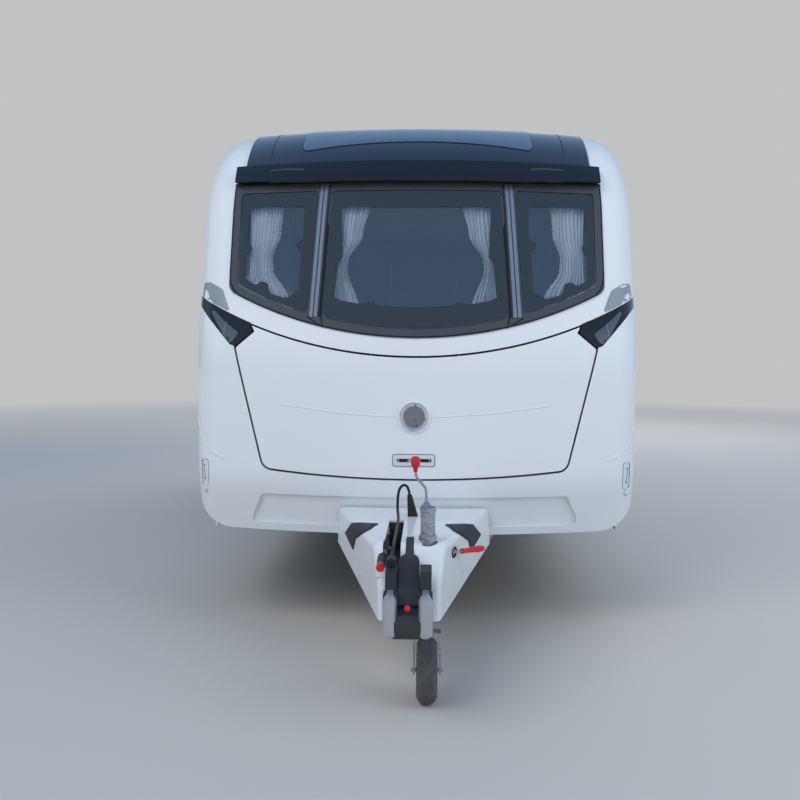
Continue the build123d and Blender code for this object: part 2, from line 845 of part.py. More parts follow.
skirt_depth = 95
skirt = slab(
    half_width - 26, half_width - 12, front_y + 640, rear_y - rear_cap - 12,
    wall_bottom - skirt_depth, wall_bottom,
)
skirt = cut(skirt, arch.part, arch_hole)
finish("side_skirts", mirrored(skirt))

# doors and hatches
with BuildPart() as door:
    with BuildSketch(Plane.YZ.offset(half_width - wall)):
        with Locations(door_hole[:2]):
            RectangleRounded(door_width, door_height, 52)
    extrude(amount=wall)
pane_y = door_hole[0] + door_window[0]
pane_z = door_hole[1] + door_window[1]
door_pane_at = (pane_y, pane_z, door_window[2], door_window[3])
fixed_leaves = []
with BuildPart() as entrance_door:
    add(cut(door.part, wall_hole(1, door_pane_at, 0, 45)))
    for height in (door_bottom + 190, door_hole[1], door_bottom + door_height - 190):
        fixed, moving = hinge_pair(
            (half_width, door_front - door_gap, height), (0, 0, -1), (1, 0, 0), door_gap
        )
        fixed_leaves.append(fixed)
        add(moving)
finish("entrance_door", entrance_door.part)
door_glass = wall_hole(1, door_pane_at, pane_lap, 50, depth=(-panel_seat, pane_proud))
finish("door_window", door_glass)


def hatch_panel(side, hatch):
    # A locker door flush in the side wall.
    y, z, width, height = hatch
    with BuildPart() as panel:
        with BuildSketch(Plane.YZ.offset(side * half_width - (wall if side > 0 else 0))):
            with Locations((y, z)):
                RectangleRounded(width, height, hatch_corner)
        extrude(amount=wall)
    return panel.part


with BuildPart() as wet_door:
    add(hatch_panel(-1, wet_locker))
    for shift in (-220, 220):
        at = (-half_width, wet_locker[0] + shift, wet_locker[1] - wet_locker[3] / 2 - hatch_gap)
        fixed, moving = hinge_pair(at, (0, -1, 0), (-1, 0, 0), hatch_gap)
        fixed_leaves.append(fixed)
        add(moving)
finish("wet_locker_door", wet_door.part)
with BuildPart() as cassette_door:
    add(hatch_panel(-1, cassette_hatch))
    for shift in (-110, 110):
        at = (-half_width, cassette_hatch[0] - cassette_hatch[2] / 2 - hatch_gap, cassette_hatch[1] + shift)
        fixed, moving = hinge_pair(at, (0, 0, 1), (-1, 0, 0), hatch_gap)
        fixed_leaves.append(fixed)
        add(moving)
finish("cassette_door", cassette_door.part)
finish("door_hinges", both(*fixed_leaves, *lid_brackets))

glass = [
    wall_hole(1, hole, pane_lap, window_corner, depth=(-panel_seat, pane_proud)) for hole in nearside_windows
]
glass += [
    wall_hole(-1, hole, pane_lap, window_corner, depth=(pane_proud, -panel_seat)) for hole in offside_windows
]
with BuildPart() as rear_pane:
    with BuildSketch(Plane.XZ.offset(-(rear_y + pane_proud))):
        with Locations((0, rear_z)):
            RectangleRounded(rear_w + 2 * pane_lap, rear_h + 2 * pane_lap, window_corner)
    extrude(amount=300)
rear_glass = cut(rear_pane.part, envelope(0))
glass.append(rear_glass)
finish("body_windows", both(*glass))

# chassis
rail_in = rail_x - rail_flange / 2
rail_out = rail_x + rail_flange / 2
end_x, end_y = drawbar_end
tube_y = axle_y - axle_lead


def bar_inner(y):
    # Half the clear width between the two drawbar beams at y.
    slope = (rail_in - seat - end_x) / (rail_bend_y + 40 - end_y)
    return end_x + (y - end_y) * slope - rail_flange * sqrt(1 + slope**2) - seat


main_rail = channel(
    (rail_out, 2900), (rail_out, rail_bend_y), chassis_top, chassis_depth, -rail_flange, rail_web
)
finish("chassis_rails", mirrored(main_rail))
drawbar_rail = channel(
    (rail_in - pin_clear, rail_bend_y + 40), (end_x, end_y),
    front_bottom - pin_clear, drawbar_depth, -rail_flange, rail_web,
)
finish("drawbar", mirrored(drawbar_rail))
members = []
inner_reach = rail_out - rail_web - pin_clear
for y, reach, top in (
    (steady_front_y - 75, 930, chassis_top), (rail_bend_y + 110, inner_reach, chassis_top - rail_web - seat),
    (tube_y + 900, inner_reach, chassis_top - rail_web - seat),
    (2860, inner_reach, chassis_top - rail_web - seat),
    (steady_rear_y + 75, 930, chassis_top),
):
    members.append(slab(-reach, reach, y - 25, y + 25, chassis_top - 60, top))
bar_mid = bar_inner(steady_front_y - 75) + rail_flange / 2
members[0] = cut(members[0], mirrored(slab(bar_mid - 45, bar_mid + 50, -2300, -1800, 0, 900)))

# axle
hub_back = tyre_centre_x - 95
plate_thick = 14
arm_thick = 40
arm_x = hub_back - 10 - plate_thick - arm_thick
with BuildPart() as axle:
    with Locations((0, tube_y, axle_z)):
        Box(2 * (arm_x - seat), axle_tube, axle_tube)
    fillet(edges().filter_by(Axis.X), 22)
    for side in (-1, 1):
        with Locations((side * rail_x, tube_y, (axle_z + chassis_top - chassis_depth) / 2)):
            Box(rail_flange + 12, axle_tube + 60, chassis_top - chassis_depth - axle_z)
finish("axle_tube", axle.part)
arms = []
for side in (-1, 1):
    with BuildPart() as arm:
        with BuildSketch(Plane.YZ.offset(side * arm_x)):
            Polygon(
                (tube_y - 50, axle_z - 45), (tube_y - 50, axle_z + 45), (tube_y + 40, axle_z + 45),
                (axle_y + 35, wheel_z + 32), (axle_y + 35, wheel_z - 32), (tube_y + 40, axle_z - 45),
                align=None,
            )
            fillet(vertices(), 20)
        extrude(amount=side * arm_thick)
        with BuildSketch(Plane.YZ.offset(side * (arm_x + arm_thick))):
            with Locations((axle_y, wheel_z)):
                Circle(105)
        extrude(amount=side * plate_thick)
        with BuildSketch(Plane.YZ.offset(side * (arm_x + arm_thick + plate_thick))):
            with Locations((axle_y, wheel_z)):
                Circle(stub_radius)
        extrude(amount=side * 100)
    arms.append(arm.part)
finish("trailing_arms", both(*arms))


def on_axle(radius, hole, x_low, x_high):
    # A ring about the wheels' axis between two x.
    with BuildPart() as ring:
        with BuildSketch(Plane.YZ.offset(x_low)):
            with Locations((axle_y, wheel_z)):
                Circle(radius)
                if hole:
                    Circle(hole, mode=Mode.SUBTRACT)
        extrude(amount=x_high - x_low)
    return ring.part


for side, word in ((1, "nearside"), (-1, "offside")):
    mid = side * tyre_centre_x
    with BuildPart() as tyre:
        with BuildSketch(Plane.XZ.offset(-axle_y)):
            Polygon(
                (mid - 72, wheel_z + 173.3), (mid - 88, wheel_z + 193.3), (mid - 97.5, wheel_z + 240),
                (mid - 90, wheel_z + 292), (mid - 70, wheel_z + tyre_diameter / 2),
                (mid + 70, wheel_z + tyre_diameter / 2), (mid + 90, wheel_z + 292),
                (mid + 97.5, wheel_z + 240), (mid + 88, wheel_z + 193.3), (mid + 72, wheel_z + 173.3),
                align=None,
            )
        revolve(axis=Axis((0, axle_y, wheel_z), (1, 0, 0)))
    finish(f"tyre_{word}", tyre.part)
    with BuildPart() as rim:
        with BuildSketch(Plane.XZ.offset(-axle_y)):
            Polygon(
                (mid - 86, wheel_z + 189), (mid - 84, wheel_z + 180), (mid - 68, wheel_z + 162),
                (mid - 68, wheel_z + 148), (mid + 68, wheel_z + 148), (mid + 68, wheel_z + 162),
                (mid + 84, wheel_z + 180), (mid + 86, wheel_z + 189), (mid + 71, wheel_z + 171),
                (mid - 71, wheel_z + 171), align=None,
            )
            Polygon(
                (mid + side * 20, wheel_z + 150), (mid + side * 34, wheel_z + 150),
                (mid + side * 12, wheel_z + 70), (mid + side * 12, wheel_z), (mid - side * 2, wheel_z),
                (mid - side * 2, wheel_z + 70), align=None,
            )
        revolve(axis=Axis((0, axle_y, wheel_z), (1, 0, 0)))
        add(on_axle(115, stub_radius + pin_clear, *sorted((side * hub_back, mid - side * 2))))
        with BuildSketch(Plane.YZ.offset(mid - side * 20)):
            with Locations((axle_y, wheel_z)):
                with PolarLocations(118, 10):
                    SlotOverall(38, 22, rotation=90)
        extrude(amount=side * 70, mode=Mode.SUBTRACT)
    finish(f"rim_{word}", rim.part)

# coupling and overrun
bar_floor = front_bottom - pin_clear - drawbar_depth + rail_web + seat
with BuildPart() as overrun:
    with Locations((0, -3080, 440)):
        Box(110, 240, 110)
    fillet(edges().filter_by(Axis.Y), 16)
    with BuildSketch(Plane.XY.offset(bar_floor)):
        Polygon(
            (-bar_inner(end_y) - 30, end_y + 2), (bar_inner(end_y) + 30, end_y + 2),
            (bar_inner(-3030) + 30, -3030), (-bar_inner(-3030) - 30, -3030), align=None,
        )
    extrude(amount=shaft_z + 24 - bar_floor)
    with BuildSketch(Plane.XZ.offset(3200)):
        with Locations((0, shaft_z)):
            Circle(25)
    extrude(amount=240 - seat)
finish("overrun", overrun.part)
with BuildPart() as head:
    with BuildSketch(Plane.YZ.offset(-58)):
        with BuildLine():
            Polyline(
                (-3440, 392), (-3440, 500), (-3490, 505), (-3590, 462), (nose_y + 18, 448), (nose_y, 424),
                (nose_y, 386), (nose_y + 16, ball_z - 37), (-3560, ball_z - 37), close=True,
            )
        make_face()
        fillet([v for v in vertices() if v.X < -3620], 10)
    extrude(amount=116)
    for side in (-1, 1):
        with BuildSketch(Plane.YZ.offset(side * (41 + seat))):
            with Locations((ball_y + 20, 460)):
                RectangleRounded(108, 118, 30)
        extrude(amount=side * 50.7)
    with BuildSketch(Plane.XY.offset(300)):
        with Locations((0, ball_y)):
            Circle(ball_socket)
    extrude(amount=ball_z - 300, mode=Mode.SUBTRACT)
    with Locations((0, ball_y, ball_z)):
        Sphere(ball_socket, mode=Mode.SUBTRACT)
finish("coupling_head", head.part)
with BuildPart() as cover_side:
    with BuildSketch(Plane.YZ.offset(-100)):
        Polygon(
            (-3596, 462), (-3602, 474), (-3560, 526), (-3400, 606), (-3222, 652), (-3214, 636), (-3300, 602),
            (-3380, 560), (-3438, 500 + seat), (-3440, 500 + seat), (-3490, 505 + seat), (-3590, 462 + seat),
            align=None,
        )
    extrude(amount=200)
with BuildPart() as cover_plan:
    with BuildSketch(Plane.XY.offset(400)):
        Polygon(
            (-41, -3640), (41, -3640), (41, -3420), (34, -3390), (14, -3366), (13, -3190), (-13, -3190),
            (-14, -3366), (-34, -3390), (-41, -3420), align=None,
        )
    extrude(amount=400)
pad_covers = []
for side in (-1, 1):
    with BuildPart() as pad_cover:
        with BuildSketch(Plane.YZ.offset(44 if side > 0 else -88)):
            Polygon(
                (-3566, 519 + seat), (-3538, 584), (-3440, 592), (-3418, 560), (-3418, 494),
                (-3440, 500 + seat), (-3490, 505 + seat), (-3540, 505 + seat), (-3546, 512), align=None,
            )
            fillet(vertices().sort_by_distance((-3440, 592))[0], 20)
        extrude(amount=44)
    pad_covers.append(pad_cover.part)
finish("coupling_lever", both(common(cover_side.part, cover_plan.part), *pad_covers))

# jockey wheel and its clamp
def upright(x, y, radius, z_low, z_high, hole=0):
    # An upright tube or bar.
    with BuildPart() as bar:
        with BuildSketch(Plane.XY.offset(z_low)):
            with Locations((x, y)):
                Circle(radius)
                if hole:
                    Circle(hole, mode=Mode.SUBTRACT)
        extrude(amount=z_high - z_low)
    return bar.part


tube_foot = fork_top + jockey_lift + 10
jockey_outer = upright(jockey_x, jockey_y, jockey_tube / 2, tube_foot, 785, jockey_bore / 2)
with BuildPart() as clamp:
    with BuildSketch(Plane.XY.offset(400)):
        with Locations((jockey_x, jockey_y)):
            Circle(40)
            Circle(jockey_tube / 2 + 0.2, mode=Mode.SUBTRACT)
    extrude(amount=60)
    add(cut(
        slab(jockey_x + 25, 118, jockey_y - 16, end_y + 2 - seat, 405, 455),
        upright(jockey_x, jockey_y, 30.2, 0, 900),
    ))
handle_start = Vector(jockey_x, jockey_y, clamp_handle_z)
handle_way = Vector(113, 105, -7)
with BuildPart() as clamp_handle:
    with BuildSketch(Plane.XY.offset(clamp_handle_z - 16)):
        with Locations((jockey_x, jockey_y)):
            Circle(37)
            Circle(jockey_tube / 2 + 0.2, mode=Mode.SUBTRACT)
    extrude(amount=32)
    with BuildSketch(Plane(origin=handle_start + handle_way.normalized() * 34, z_dir=handle_way)):
        Circle(5)
    extrude(amount=190)
    with BuildSketch(Plane(origin=handle_start + handle_way.normalized() * 190, z_dir=handle_way)):
        Circle(9)
    extrude(amount=136)
with BuildPart() as clamp_hole:
    with BuildSketch(Plane(origin=handle_start + handle_way.normalized() * 60, z_dir=handle_way)):
        Circle(17)
    extrude(amount=150)
finish("jockey_tube", both(jockey_outer, clamp.part, clamp_handle.part))
with BuildPart() as stem:
    add(upright(jockey_x, jockey_y, stem_diameter / 2, fork_top + 1 + seat, 640))
    add(upright(jockey_x, jockey_y, caster_pin, fork_top - 9, fork_top + 10))
finish("jockey_stem", stem.part)
wheel_mid_y = jockey_y - jockey_trail
with BuildPart() as fork:
    with Locations((jockey_x, jockey_y, fork_top - 4)):
        Cylinder(30, 10)
    for side in (-1, 1):
        with BuildSketch(Plane.YZ.offset(jockey_x + (48 if side > 0 else -56))):
            with BuildLine():
                Polyline(
                    (jockey_y + 28, fork_top), (jockey_y - 40, fork_top), (wheel_mid_y - 20, 118),
                    (wheel_mid_y + 12, 108), (jockey_y + 28, 230), close=True,
                )
            make_face()
            fillet(vertices(), 9)
        extrude(amount=8)
    with Locations((jockey_x, jockey_y - 4, fork_top - 5)):
        Box(112, 56, 9)
    with Locations(Location((jockey_x, wheel_mid_y, jockey_wheel_diameter / 2), (0, 90, 0))):
        Cylinder(fork_axle, 128)
    with Locations((jockey_x, jockey_y, fork_top)):
        Cylinder(caster_pin + pin_clear, 60, mode=Mode.SUBTRACT)
finish("jockey_fork", fork.part)
with BuildPart() as little_wheel:
    radius = jockey_wheel_diameter / 2
    half = jockey_wheel_width / 2
    with BuildSketch(Plane.XZ.offset(-wheel_mid_y)):
        Polygon(
            *[(jockey_x + x, radius + z) for x, z in (
                (-half + 4, fork_axle + pin_clear), (-half + 4, 28), (-10, 34), (-10, 66), (-half + 6, 72),
                (-half, radius - 24), (-half + 12, radius - 5), (-half + 24, radius),
                (half - 24, radius), (half - 12, radius - 5), (half, radius - 24),
                (half - 6, 72), (10, 66), (10, 34), (half - 4, 28), (half - 4, fork_axle + pin_clear),
            )], align=None,
        )
    revolve(axis=Axis((0, wheel_mid_y, radius), (1, 0, 0)))
finish("jockey_wheel", little_wheel.part)
with BuildPart() as crank:
    with Locations((jockey_x - 6, jockey_y, 792)):
        Cylinder(27, 13)
    with BuildLine() as crank_path:
        FilletPolyline(
            (jockey_x - 7, jockey_y, 797), (jockey_x - 7, jockey_y, 856), (jockey_x - 50, jockey_y, 905),
            (jockey_x - 52, jockey_y, 934), radius=10,
        )
    with BuildSketch(Plane(origin=(jockey_x - 7, jockey_y, 797), z_dir=(0, 0, 1))):
        Circle(6)
    sweep(path=crank_path.wire())
    with Locations((jockey_x - 52, jockey_y, 962)):
        Cylinder(20, 60)
finish("jockey_crank", crank.part)

# handbrake
with BuildPart() as brake:
    with BuildSketch(Plane.YZ.offset(-96)):
        with BuildLine():
            Polyline(
                (-3010, 456), (-2976, 456), (-2976, 504), (-3240, 614), (-3276, 614), (-3276, 582),
                close=True,
            )
        make_face()
        fillet(vertices(), 7)
    extrude(amount=20)
    with Locations(Location((-70, -2992, 474), (0, 90, 0))):
        Cylinder(8, 30 - 2 * seat)
    with Locations(Location((-100, -3258, 598), (0, 90, 0))):
        Cylinder(15, 46)
    with BuildSketch(Plane(origin=(-110, -3250, 598), z_dir=(0, -250, -13))):
        Circle(15)
    extrude(amount=236)
finish("handbrake_lever", brake.part)


# A-frame fairing
def fairing_block(shrink, y_back=-2300):
    # The fairing's outside, or its inside when shrunk.
    reach = fairing_nose_y + shrink
    taper = (fairing_rear_half - fairing_nose_half) / (front_y - fairing_nose_y)

    def half(y):
        return fairing_nose_half + (y - fairing_nose_y) * taper - shrink

    def profile():
        with BuildSketch() as outline:
            with BuildLine():
                Polyline(
                    (y_back, 300 if shrink else fairing_rear_bottom + 20),
                    (reach, 250 if shrink else fairing_nose_bottom),
                    (reach, 480 - shrink), (-3310 + shrink / 2, 640 - shrink), (y_back, 640 - shrink),
                    close=True,
                )
            make_face()
            fillet(vertices().sort_by_distance((-3310 + shrink / 2, 640 - shrink))[0], 60)
            fillet(vertices().sort_by_distance((reach, 480 - shrink))[0], 40)
        return outline.sketch

    with BuildPart() as block:
        add(side_block(profile, -500, 500))
        with BuildSketch(Plane.XY.offset(200)):
            with BuildLine():
                Polyline(
                    (-half(reach), reach), (half(reach), reach), (half(y_back), y_back),
                    (-half(y_back), y_back), close=True,
                )
            make_face()
        extrude(amount=600, mode=Mode.INTERSECT)
    return block.part


fairing_solid = fairing_block(0)
rim_edges = [
    e for e in fairing_solid.edges()
    if abs(e.center().X) > 60 and e.center().Z > 420 and e.center().Y < -2350
    and abs(e.tangent_at(0.5).Z) < 0.9
]
fairing_solid = fairing_solid.fillet(26, rim_edges)
fairing = cut(
    fairing_solid,
    fairing_block(fairing_wall),
    envelope(0),
    upright(jockey_x, jockey_y, 42, 560, 760),
    slab(-104, -36, -3300, -2800, 470, 700),
    slab(-134, -36, -3420, -3225, 556, 700),
    clamp_hole.part,
    slab(-58, 58, nose_y, -3300, 300, 545),
    slab(-50, 50, nose_y, -3150, 500, 700),
)
finish("fairing", fairing)
pads = []
for side in (-1, 1):
    with BuildPart() as pad:
        with BuildSketch(Plane.XY.offset(640.3)):
            with BuildLine():
                Polyline(
                    (side * 285, front_y - 327), (side * 232, front_y - 560), (side * 150, front_y - 271),
                    close=True,
                )
            make_face()
            fillet(vertices(), 18)
        extrude(amount=4)
    pads.append(pad.part)
finish("fairing_pads", both(*pads))

# corner steadies
for word, side, y, way in (
    ("front_nearside", 1, steady_front_y, 1), ("front_offside", -1, steady_front_y, 1),
    ("rear_nearside", 1, steady_rear_y, -1), ("rear_offside", -1, steady_rear_y, -1),
):
    x = side * steady_x
    with BuildPart() as leg:
        with BuildSketch(Plane.YZ.offset(x - 25)):
            with BuildLine():
                Polyline(
                    (y - way * 16, steady_pivot_z - 16), (y - way * 16, steady_pivot_z + 16),
                    (y + way * 200, steady_pivot_z + 18),
                    (y + way * (steady_length - 20), steady_pivot_z + 10),
                    (y + way * steady_length, steady_pivot_z - 10),
                    (y + way * (steady_length - 30), steady_pivot_z - 14),
                    close=True,
                )
            make_face()
            fillet(vertices(), 6)
        extrude(amount=50)
        with Locations((x, y + way * (steady_length - 45), steady_pivot_z - 15)):
            Box(90, 110, 8)
        with Locations(Location((x, y, steady_pivot_z), (0, 90, 0))):
            Cylinder(steady_pin + pin_clear, 60, mode=Mode.SUBTRACT)
    finish(f"steady_{word}", leg.part)
brackets = []
for side in (-1, 1):
    for y in (steady_front_y, steady_rear_y):
        x = side * steady_x
        with BuildPart() as bracket:
            for cheek in (-38, 32):
                with Locations((x + cheek + 3, y, (steady_pivot_z - 20 + floor_bottom) / 2)):
                    Box(6, 70, floor_bottom - steady_pivot_z + 19.4)
            with Locations((x, y, floor_bottom - 3 - seat)):
                Box(76, 70, 6)
            with Locations(Location((x, y, steady_pivot_z), (0, 90, 0))):
                Cylinder(steady_pin, 76)
        brackets.append(bracket.part)
finish("cross_members", both(*members, *brackets))

# the 13-pin cable: its boot on the fairing, the cable over the deck, its plug in the holder
boot_x, boot_y = 0, front_y - 168
with BuildPart() as boot:
    with BuildSketch(Plane.XY.offset(fairing_top + seat)):
        with Locations((boot_x, boot_y)):
            Rectangle(48, 44)
        fillet(vertices(), 10)
    with BuildSketch(Plane(origin=(boot_x - 16, boot_y + 14, 738), z_dir=(-0.15, 0.1, 1))):
        Circle(11)
    loft()
finish("cable_boot", boot.part)
cable_points = [
    (boot_x - 16, boot_y + 14, 738.3), (boot_x - 23.5, boot_y + 19, 788), (-66, boot_y + 6, 776),
    (-72, boot_y - 40, 690), (-62, boot_y - 130, 654), (-62, -3050, 648), (-64, -3330, 647),
    (-66, -3390, 618), (-68, -3440, 611.5),
]


def cord(points, radius):
    # A tube along straight runs joined by tangent arcs.
    pieces = []
    start = Vector(*points[0])
    with BuildLine() as path:
        for before, corner, after in zip(points, points[1:], points[2:]):
            a, b, c = Vector(*before), Vector(*corner), Vector(*after)
            into, out = (b - a).normalized(), (c - b).normalized()
            half = into.get_angle(out) / 2
            trim = 0.45 * min((b - a).length, (c - b).length)
            first, last = b - into * trim, b + out * trim
            Line(start, first)
            TangentArc(first, last, tangent=into)
            start = last
        Line(start, Vector(*points[-1]))
    wire = path.wire()
    with BuildPart() as tube:
        with BuildSketch(Plane(origin=wire @ 0, z_dir=wire % 0)):
            Circle(radius)
        sweep(path=wire)
    return tube.part


finish("cable", cord(cable_points, cable_radius))
with BuildPart() as plug:
    with BuildSketch(Plane(origin=(-68, -3441, 611.5), z_dir=(0, -98, -8))):
        Circle(10)
    extrude(amount=14)
    with BuildSketch(Plane(origin=(-68, -3454, 610.3), z_dir=(0, -98, -8))):
        Circle(19)
    extrude(amount=46)
finish("plug", plug.part)
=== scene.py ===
import bpy
from math import cos, hypot, pi, radians, sin, tan
from mathutils import Matrix, Vector
from mathutils.bvhtree import BVHTree


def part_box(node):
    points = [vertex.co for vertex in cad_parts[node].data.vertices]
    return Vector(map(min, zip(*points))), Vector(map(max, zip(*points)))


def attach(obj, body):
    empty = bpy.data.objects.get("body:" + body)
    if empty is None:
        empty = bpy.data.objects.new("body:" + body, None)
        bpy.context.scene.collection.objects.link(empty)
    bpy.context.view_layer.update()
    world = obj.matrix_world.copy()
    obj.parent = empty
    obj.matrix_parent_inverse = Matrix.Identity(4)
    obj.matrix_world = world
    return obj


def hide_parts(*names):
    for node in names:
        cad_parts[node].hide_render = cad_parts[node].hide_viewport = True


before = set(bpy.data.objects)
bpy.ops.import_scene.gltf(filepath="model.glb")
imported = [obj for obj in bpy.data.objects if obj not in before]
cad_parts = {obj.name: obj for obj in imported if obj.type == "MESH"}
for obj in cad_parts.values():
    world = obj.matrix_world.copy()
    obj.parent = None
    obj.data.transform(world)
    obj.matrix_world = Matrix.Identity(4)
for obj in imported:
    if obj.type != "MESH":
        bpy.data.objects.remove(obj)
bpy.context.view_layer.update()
print("stage: frame loaded,", len(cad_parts), "nodes")


# the photograph's camera
cameraSetup = {"place": (0.078, -7.091, 1.457), "pitch": 3.56, "yaw": 1.83, "roll": 0.31, "lens": 42.75,
               "sensor": 36.0}


def placeCamera(setup):
    bpy.ops.object.select_all(action="DESELECT")
    bpy.ops.object.camera_add()
    camera = bpy.context.object
    camera.name = "photoCamera"
    camera.data.lens = setup["lens"]
    camera.data.sensor_width = setup["sensor"]
    camera.data.clip_end = 200
    turn = Matrix.Rotation(radians(setup["yaw"]), 4, "Z") @ Matrix.Rotation(radians(90 - setup["pitch"]), 4,
                                                                            "X")
    turn = turn @ Matrix.Rotation(radians(setup["roll"]), 4, "Z")
    camera.matrix_world = Matrix.Translation(Vector(setup["place"])) @ turn
    bpy.context.scene.camera = camera


placeCamera(cameraSetup)


# where outlines start before they are laid onto the body, and the ways that they are laid
ahead, behind, beside, above = -2.9, 3.9, 1.3, 3.4
down, forward = (0, 0, -1), (0, -1, 0)


# helpers for modelling by hand
def nothing():
    if bpy.context.mode != "OBJECT":
        bpy.ops.object.mode_set(mode="OBJECT")
    bpy.ops.object.select_all(action="DESELECT")


def only(piece):
    nothing()
    piece.select_set(True)
    bpy.context.view_layer.objects.active = piece
    return piece


def settle(piece):
    # applies the modifiers and then the place, so that the object sits at the origin
    only(piece)
    for change in list(piece.modifiers):
        bpy.ops.object.modifier_apply(modifier=change.name)
    bpy.ops.object.transform_apply(location=True, rotation=True, scale=True)
    return piece


def hand(piece, name, finish, body="caravan", smooth=32):
    # joins a list of pieces, names the result, gives it its finish and lets it ride on its body
    piece = settle(joined(piece) if isinstance(piece, list) else piece)
    piece.name = name
    piece.data.name = name
    piece.data.materials.clear()
    piece.data.materials.append(finishes[finish])
    if smooth:
        bpy.ops.object.shade_smooth_by_angle(angle=radians(smooth))
    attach(piece, body)
    return piece


def joined(pieces):
    only(pieces[0])
    for piece in pieces[1:]:
        piece.select_set(True)
    bpy.ops.object.join()
    return bpy.context.object


def bevelled(piece, width, segments=2, angle=30):
    change = piece.modifiers.new("softEdges", "BEVEL")
    change.width = width
    change.segments = segments
    change.limit_method = "ANGLE"
    change.angle_limit = radians(angle)
    return piece


def block(low, high, bevel=0.003, segments=2):
    nothing()
    middle = [(a + b) / 2 for a, b in zip(low, high)]
    bpy.ops.mesh.primitive_cube_add(size=1, location=middle)
    piece = bpy.context.object
    piece.scale = [b - a for a, b in zip(low, high)]
    bpy.ops.object.transform_apply(location=True, rotation=True, scale=True)
    if bevel:
        bevelled(piece, bevel, segments)
    return settle(piece)


def rod(start, end, radius, endRadius=None, sides=24, bevel=0.0):
    nothing()
    start, end = Vector(start), Vector(end)
    way = end - start
    tip = radius if endRadius is None else endRadius
    bpy.ops.mesh.primitive_cone_add(vertices=sides, radius1=radius, radius2=tip, depth=way.length)
    piece = bpy.context.object
    piece.matrix_world = Matrix.Translation((start + end) / 2) @ way.to_track_quat("Z",
                                                                                   "Y").to_matrix().to_4x4()
    if bevel:
        bevelled(piece, bevel, 2, 50)
    return settle(piece)


def turned(profile, centre, axis=(0, 0, 1), steps=32):
    # a profile of (radius, height) pairs spun about the axis through centre; it may close on itself
    mesh = bpy.data.meshes.new("turned")
    mesh.from_pydata([(r, 0, h) for r, h in profile], [(i, i + 1) for i in range(len(profile) - 1)], [])
    piece = bpy.data.objects.new("turned", mesh)
    bpy.context.collection.objects.link(piece)
    only(piece)
    bpy.ops.object.mode_set(mode="EDIT")
    bpy.ops.mesh.select_all(action="SELECT")
    bpy.ops.mesh.spin(steps=steps, angle=2 * pi, center=(0, 0, 0), axis=(0, 0, 1))
    bpy.ops.mesh.select_all(action="SELECT")
    bpy.ops.mesh.remove_doubles(threshold=0.00002)
    bpy.ops.mesh.normals_make_consistent(inside=False)
    bpy.ops.object.mode_set(mode="OBJECT")
    piece.matrix_world = Matrix.Translation(centre) @ Vector(axis).to_track_quat("Z",
                                                                                 "Y").to_matrix().to_4x4()
    return settle(piece)


def swept(points, radius, smoothLine=False, sides=4, cyclic=False):
    # a round wire or tube along points
    line = bpy.data.curves.new("line", "CURVE")
    line.dimensions = "3D"
    line.bevel_depth = radius
    line.bevel_resolution = sides
    line.use_fill_caps = True
    spline = line.splines.new("NURBS" if smoothLine else "POLY")
    spline.points.add(len(points) - 1)
    for knot, point in zip(spline.points, points):
        knot.co = (*point, 1)
    spline.use_cyclic_u = cyclic
    if smoothLine:
        spline.order_u = 3
        spline.use_endpoint_u = not cyclic
        spline.resolution_u = 6
    piece = bpy.data.objects.new("line", line)
    bpy.context.collection.objects.link(piece)
    only(piece)
    bpy.ops.object.convert(target="MESH")
    return bpy.context.object


def rounded(points, radius, steps=5):
    # a closed outline of (a, b) pairs with its corners rounded; radius is one number or one per corner
    outline = []
    count = len(points)
    radii = radius if isinstance(radius, (list, tuple)) else [radius] * count
    for i, corner in enumerate(points):
        here = Vector(corner)
        before = (Vector(points[i - 1]) - here).normalized()
        after = (Vector(points[(i + 1) % count]) - here).normalized()
        angle = before.angle(after)
        reach = radii[i] / max(0.05, tan(angle / 2))
        if radii[i] <= 0 or angle > radians(176):
            outline.append(tuple(here))
            continue
        centre = here + (before + after).normalized() * radii[i] / sin(angle / 2)
        first = here + before * reach - centre
        last = here + after * reach - centre
        sweep = first.angle_signed(last)
        for k in range(steps + 1):
            spot = first.copy()
            spot.rotate(Matrix.Rotation(-sweep * k / steps, 2))
            outline.append(tuple(centre + spot))
    return outline


trees = {}


def tree(node):
    if node not in trees:
        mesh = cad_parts[node].data
        trees[node] = BVHTree.FromPolygons([v.co.copy() for v in mesh.vertices],
                                           [list(p.vertices) for p in mesh.polygons])
    return trees[node]


def meet(node, point, toward=(0, 1, 0), start=2.0):
    # the place and outward normal where a line through point first meets the node
    way = Vector(toward).normalized()
    place, normal, _, _ = tree(node).ray_cast(Vector(point) - way * start, way)
    if place is None:
        place, normal, _, _ = tree(node).find_nearest(Vector(point))
    return place, (-normal if normal.dot(way) > 0 else normal)


def onto(node, point, toward=(0, 1, 0), lift=0.001, start=2.0):
    place, normal = meet(node, point, toward, start)
    return place + normal * lift


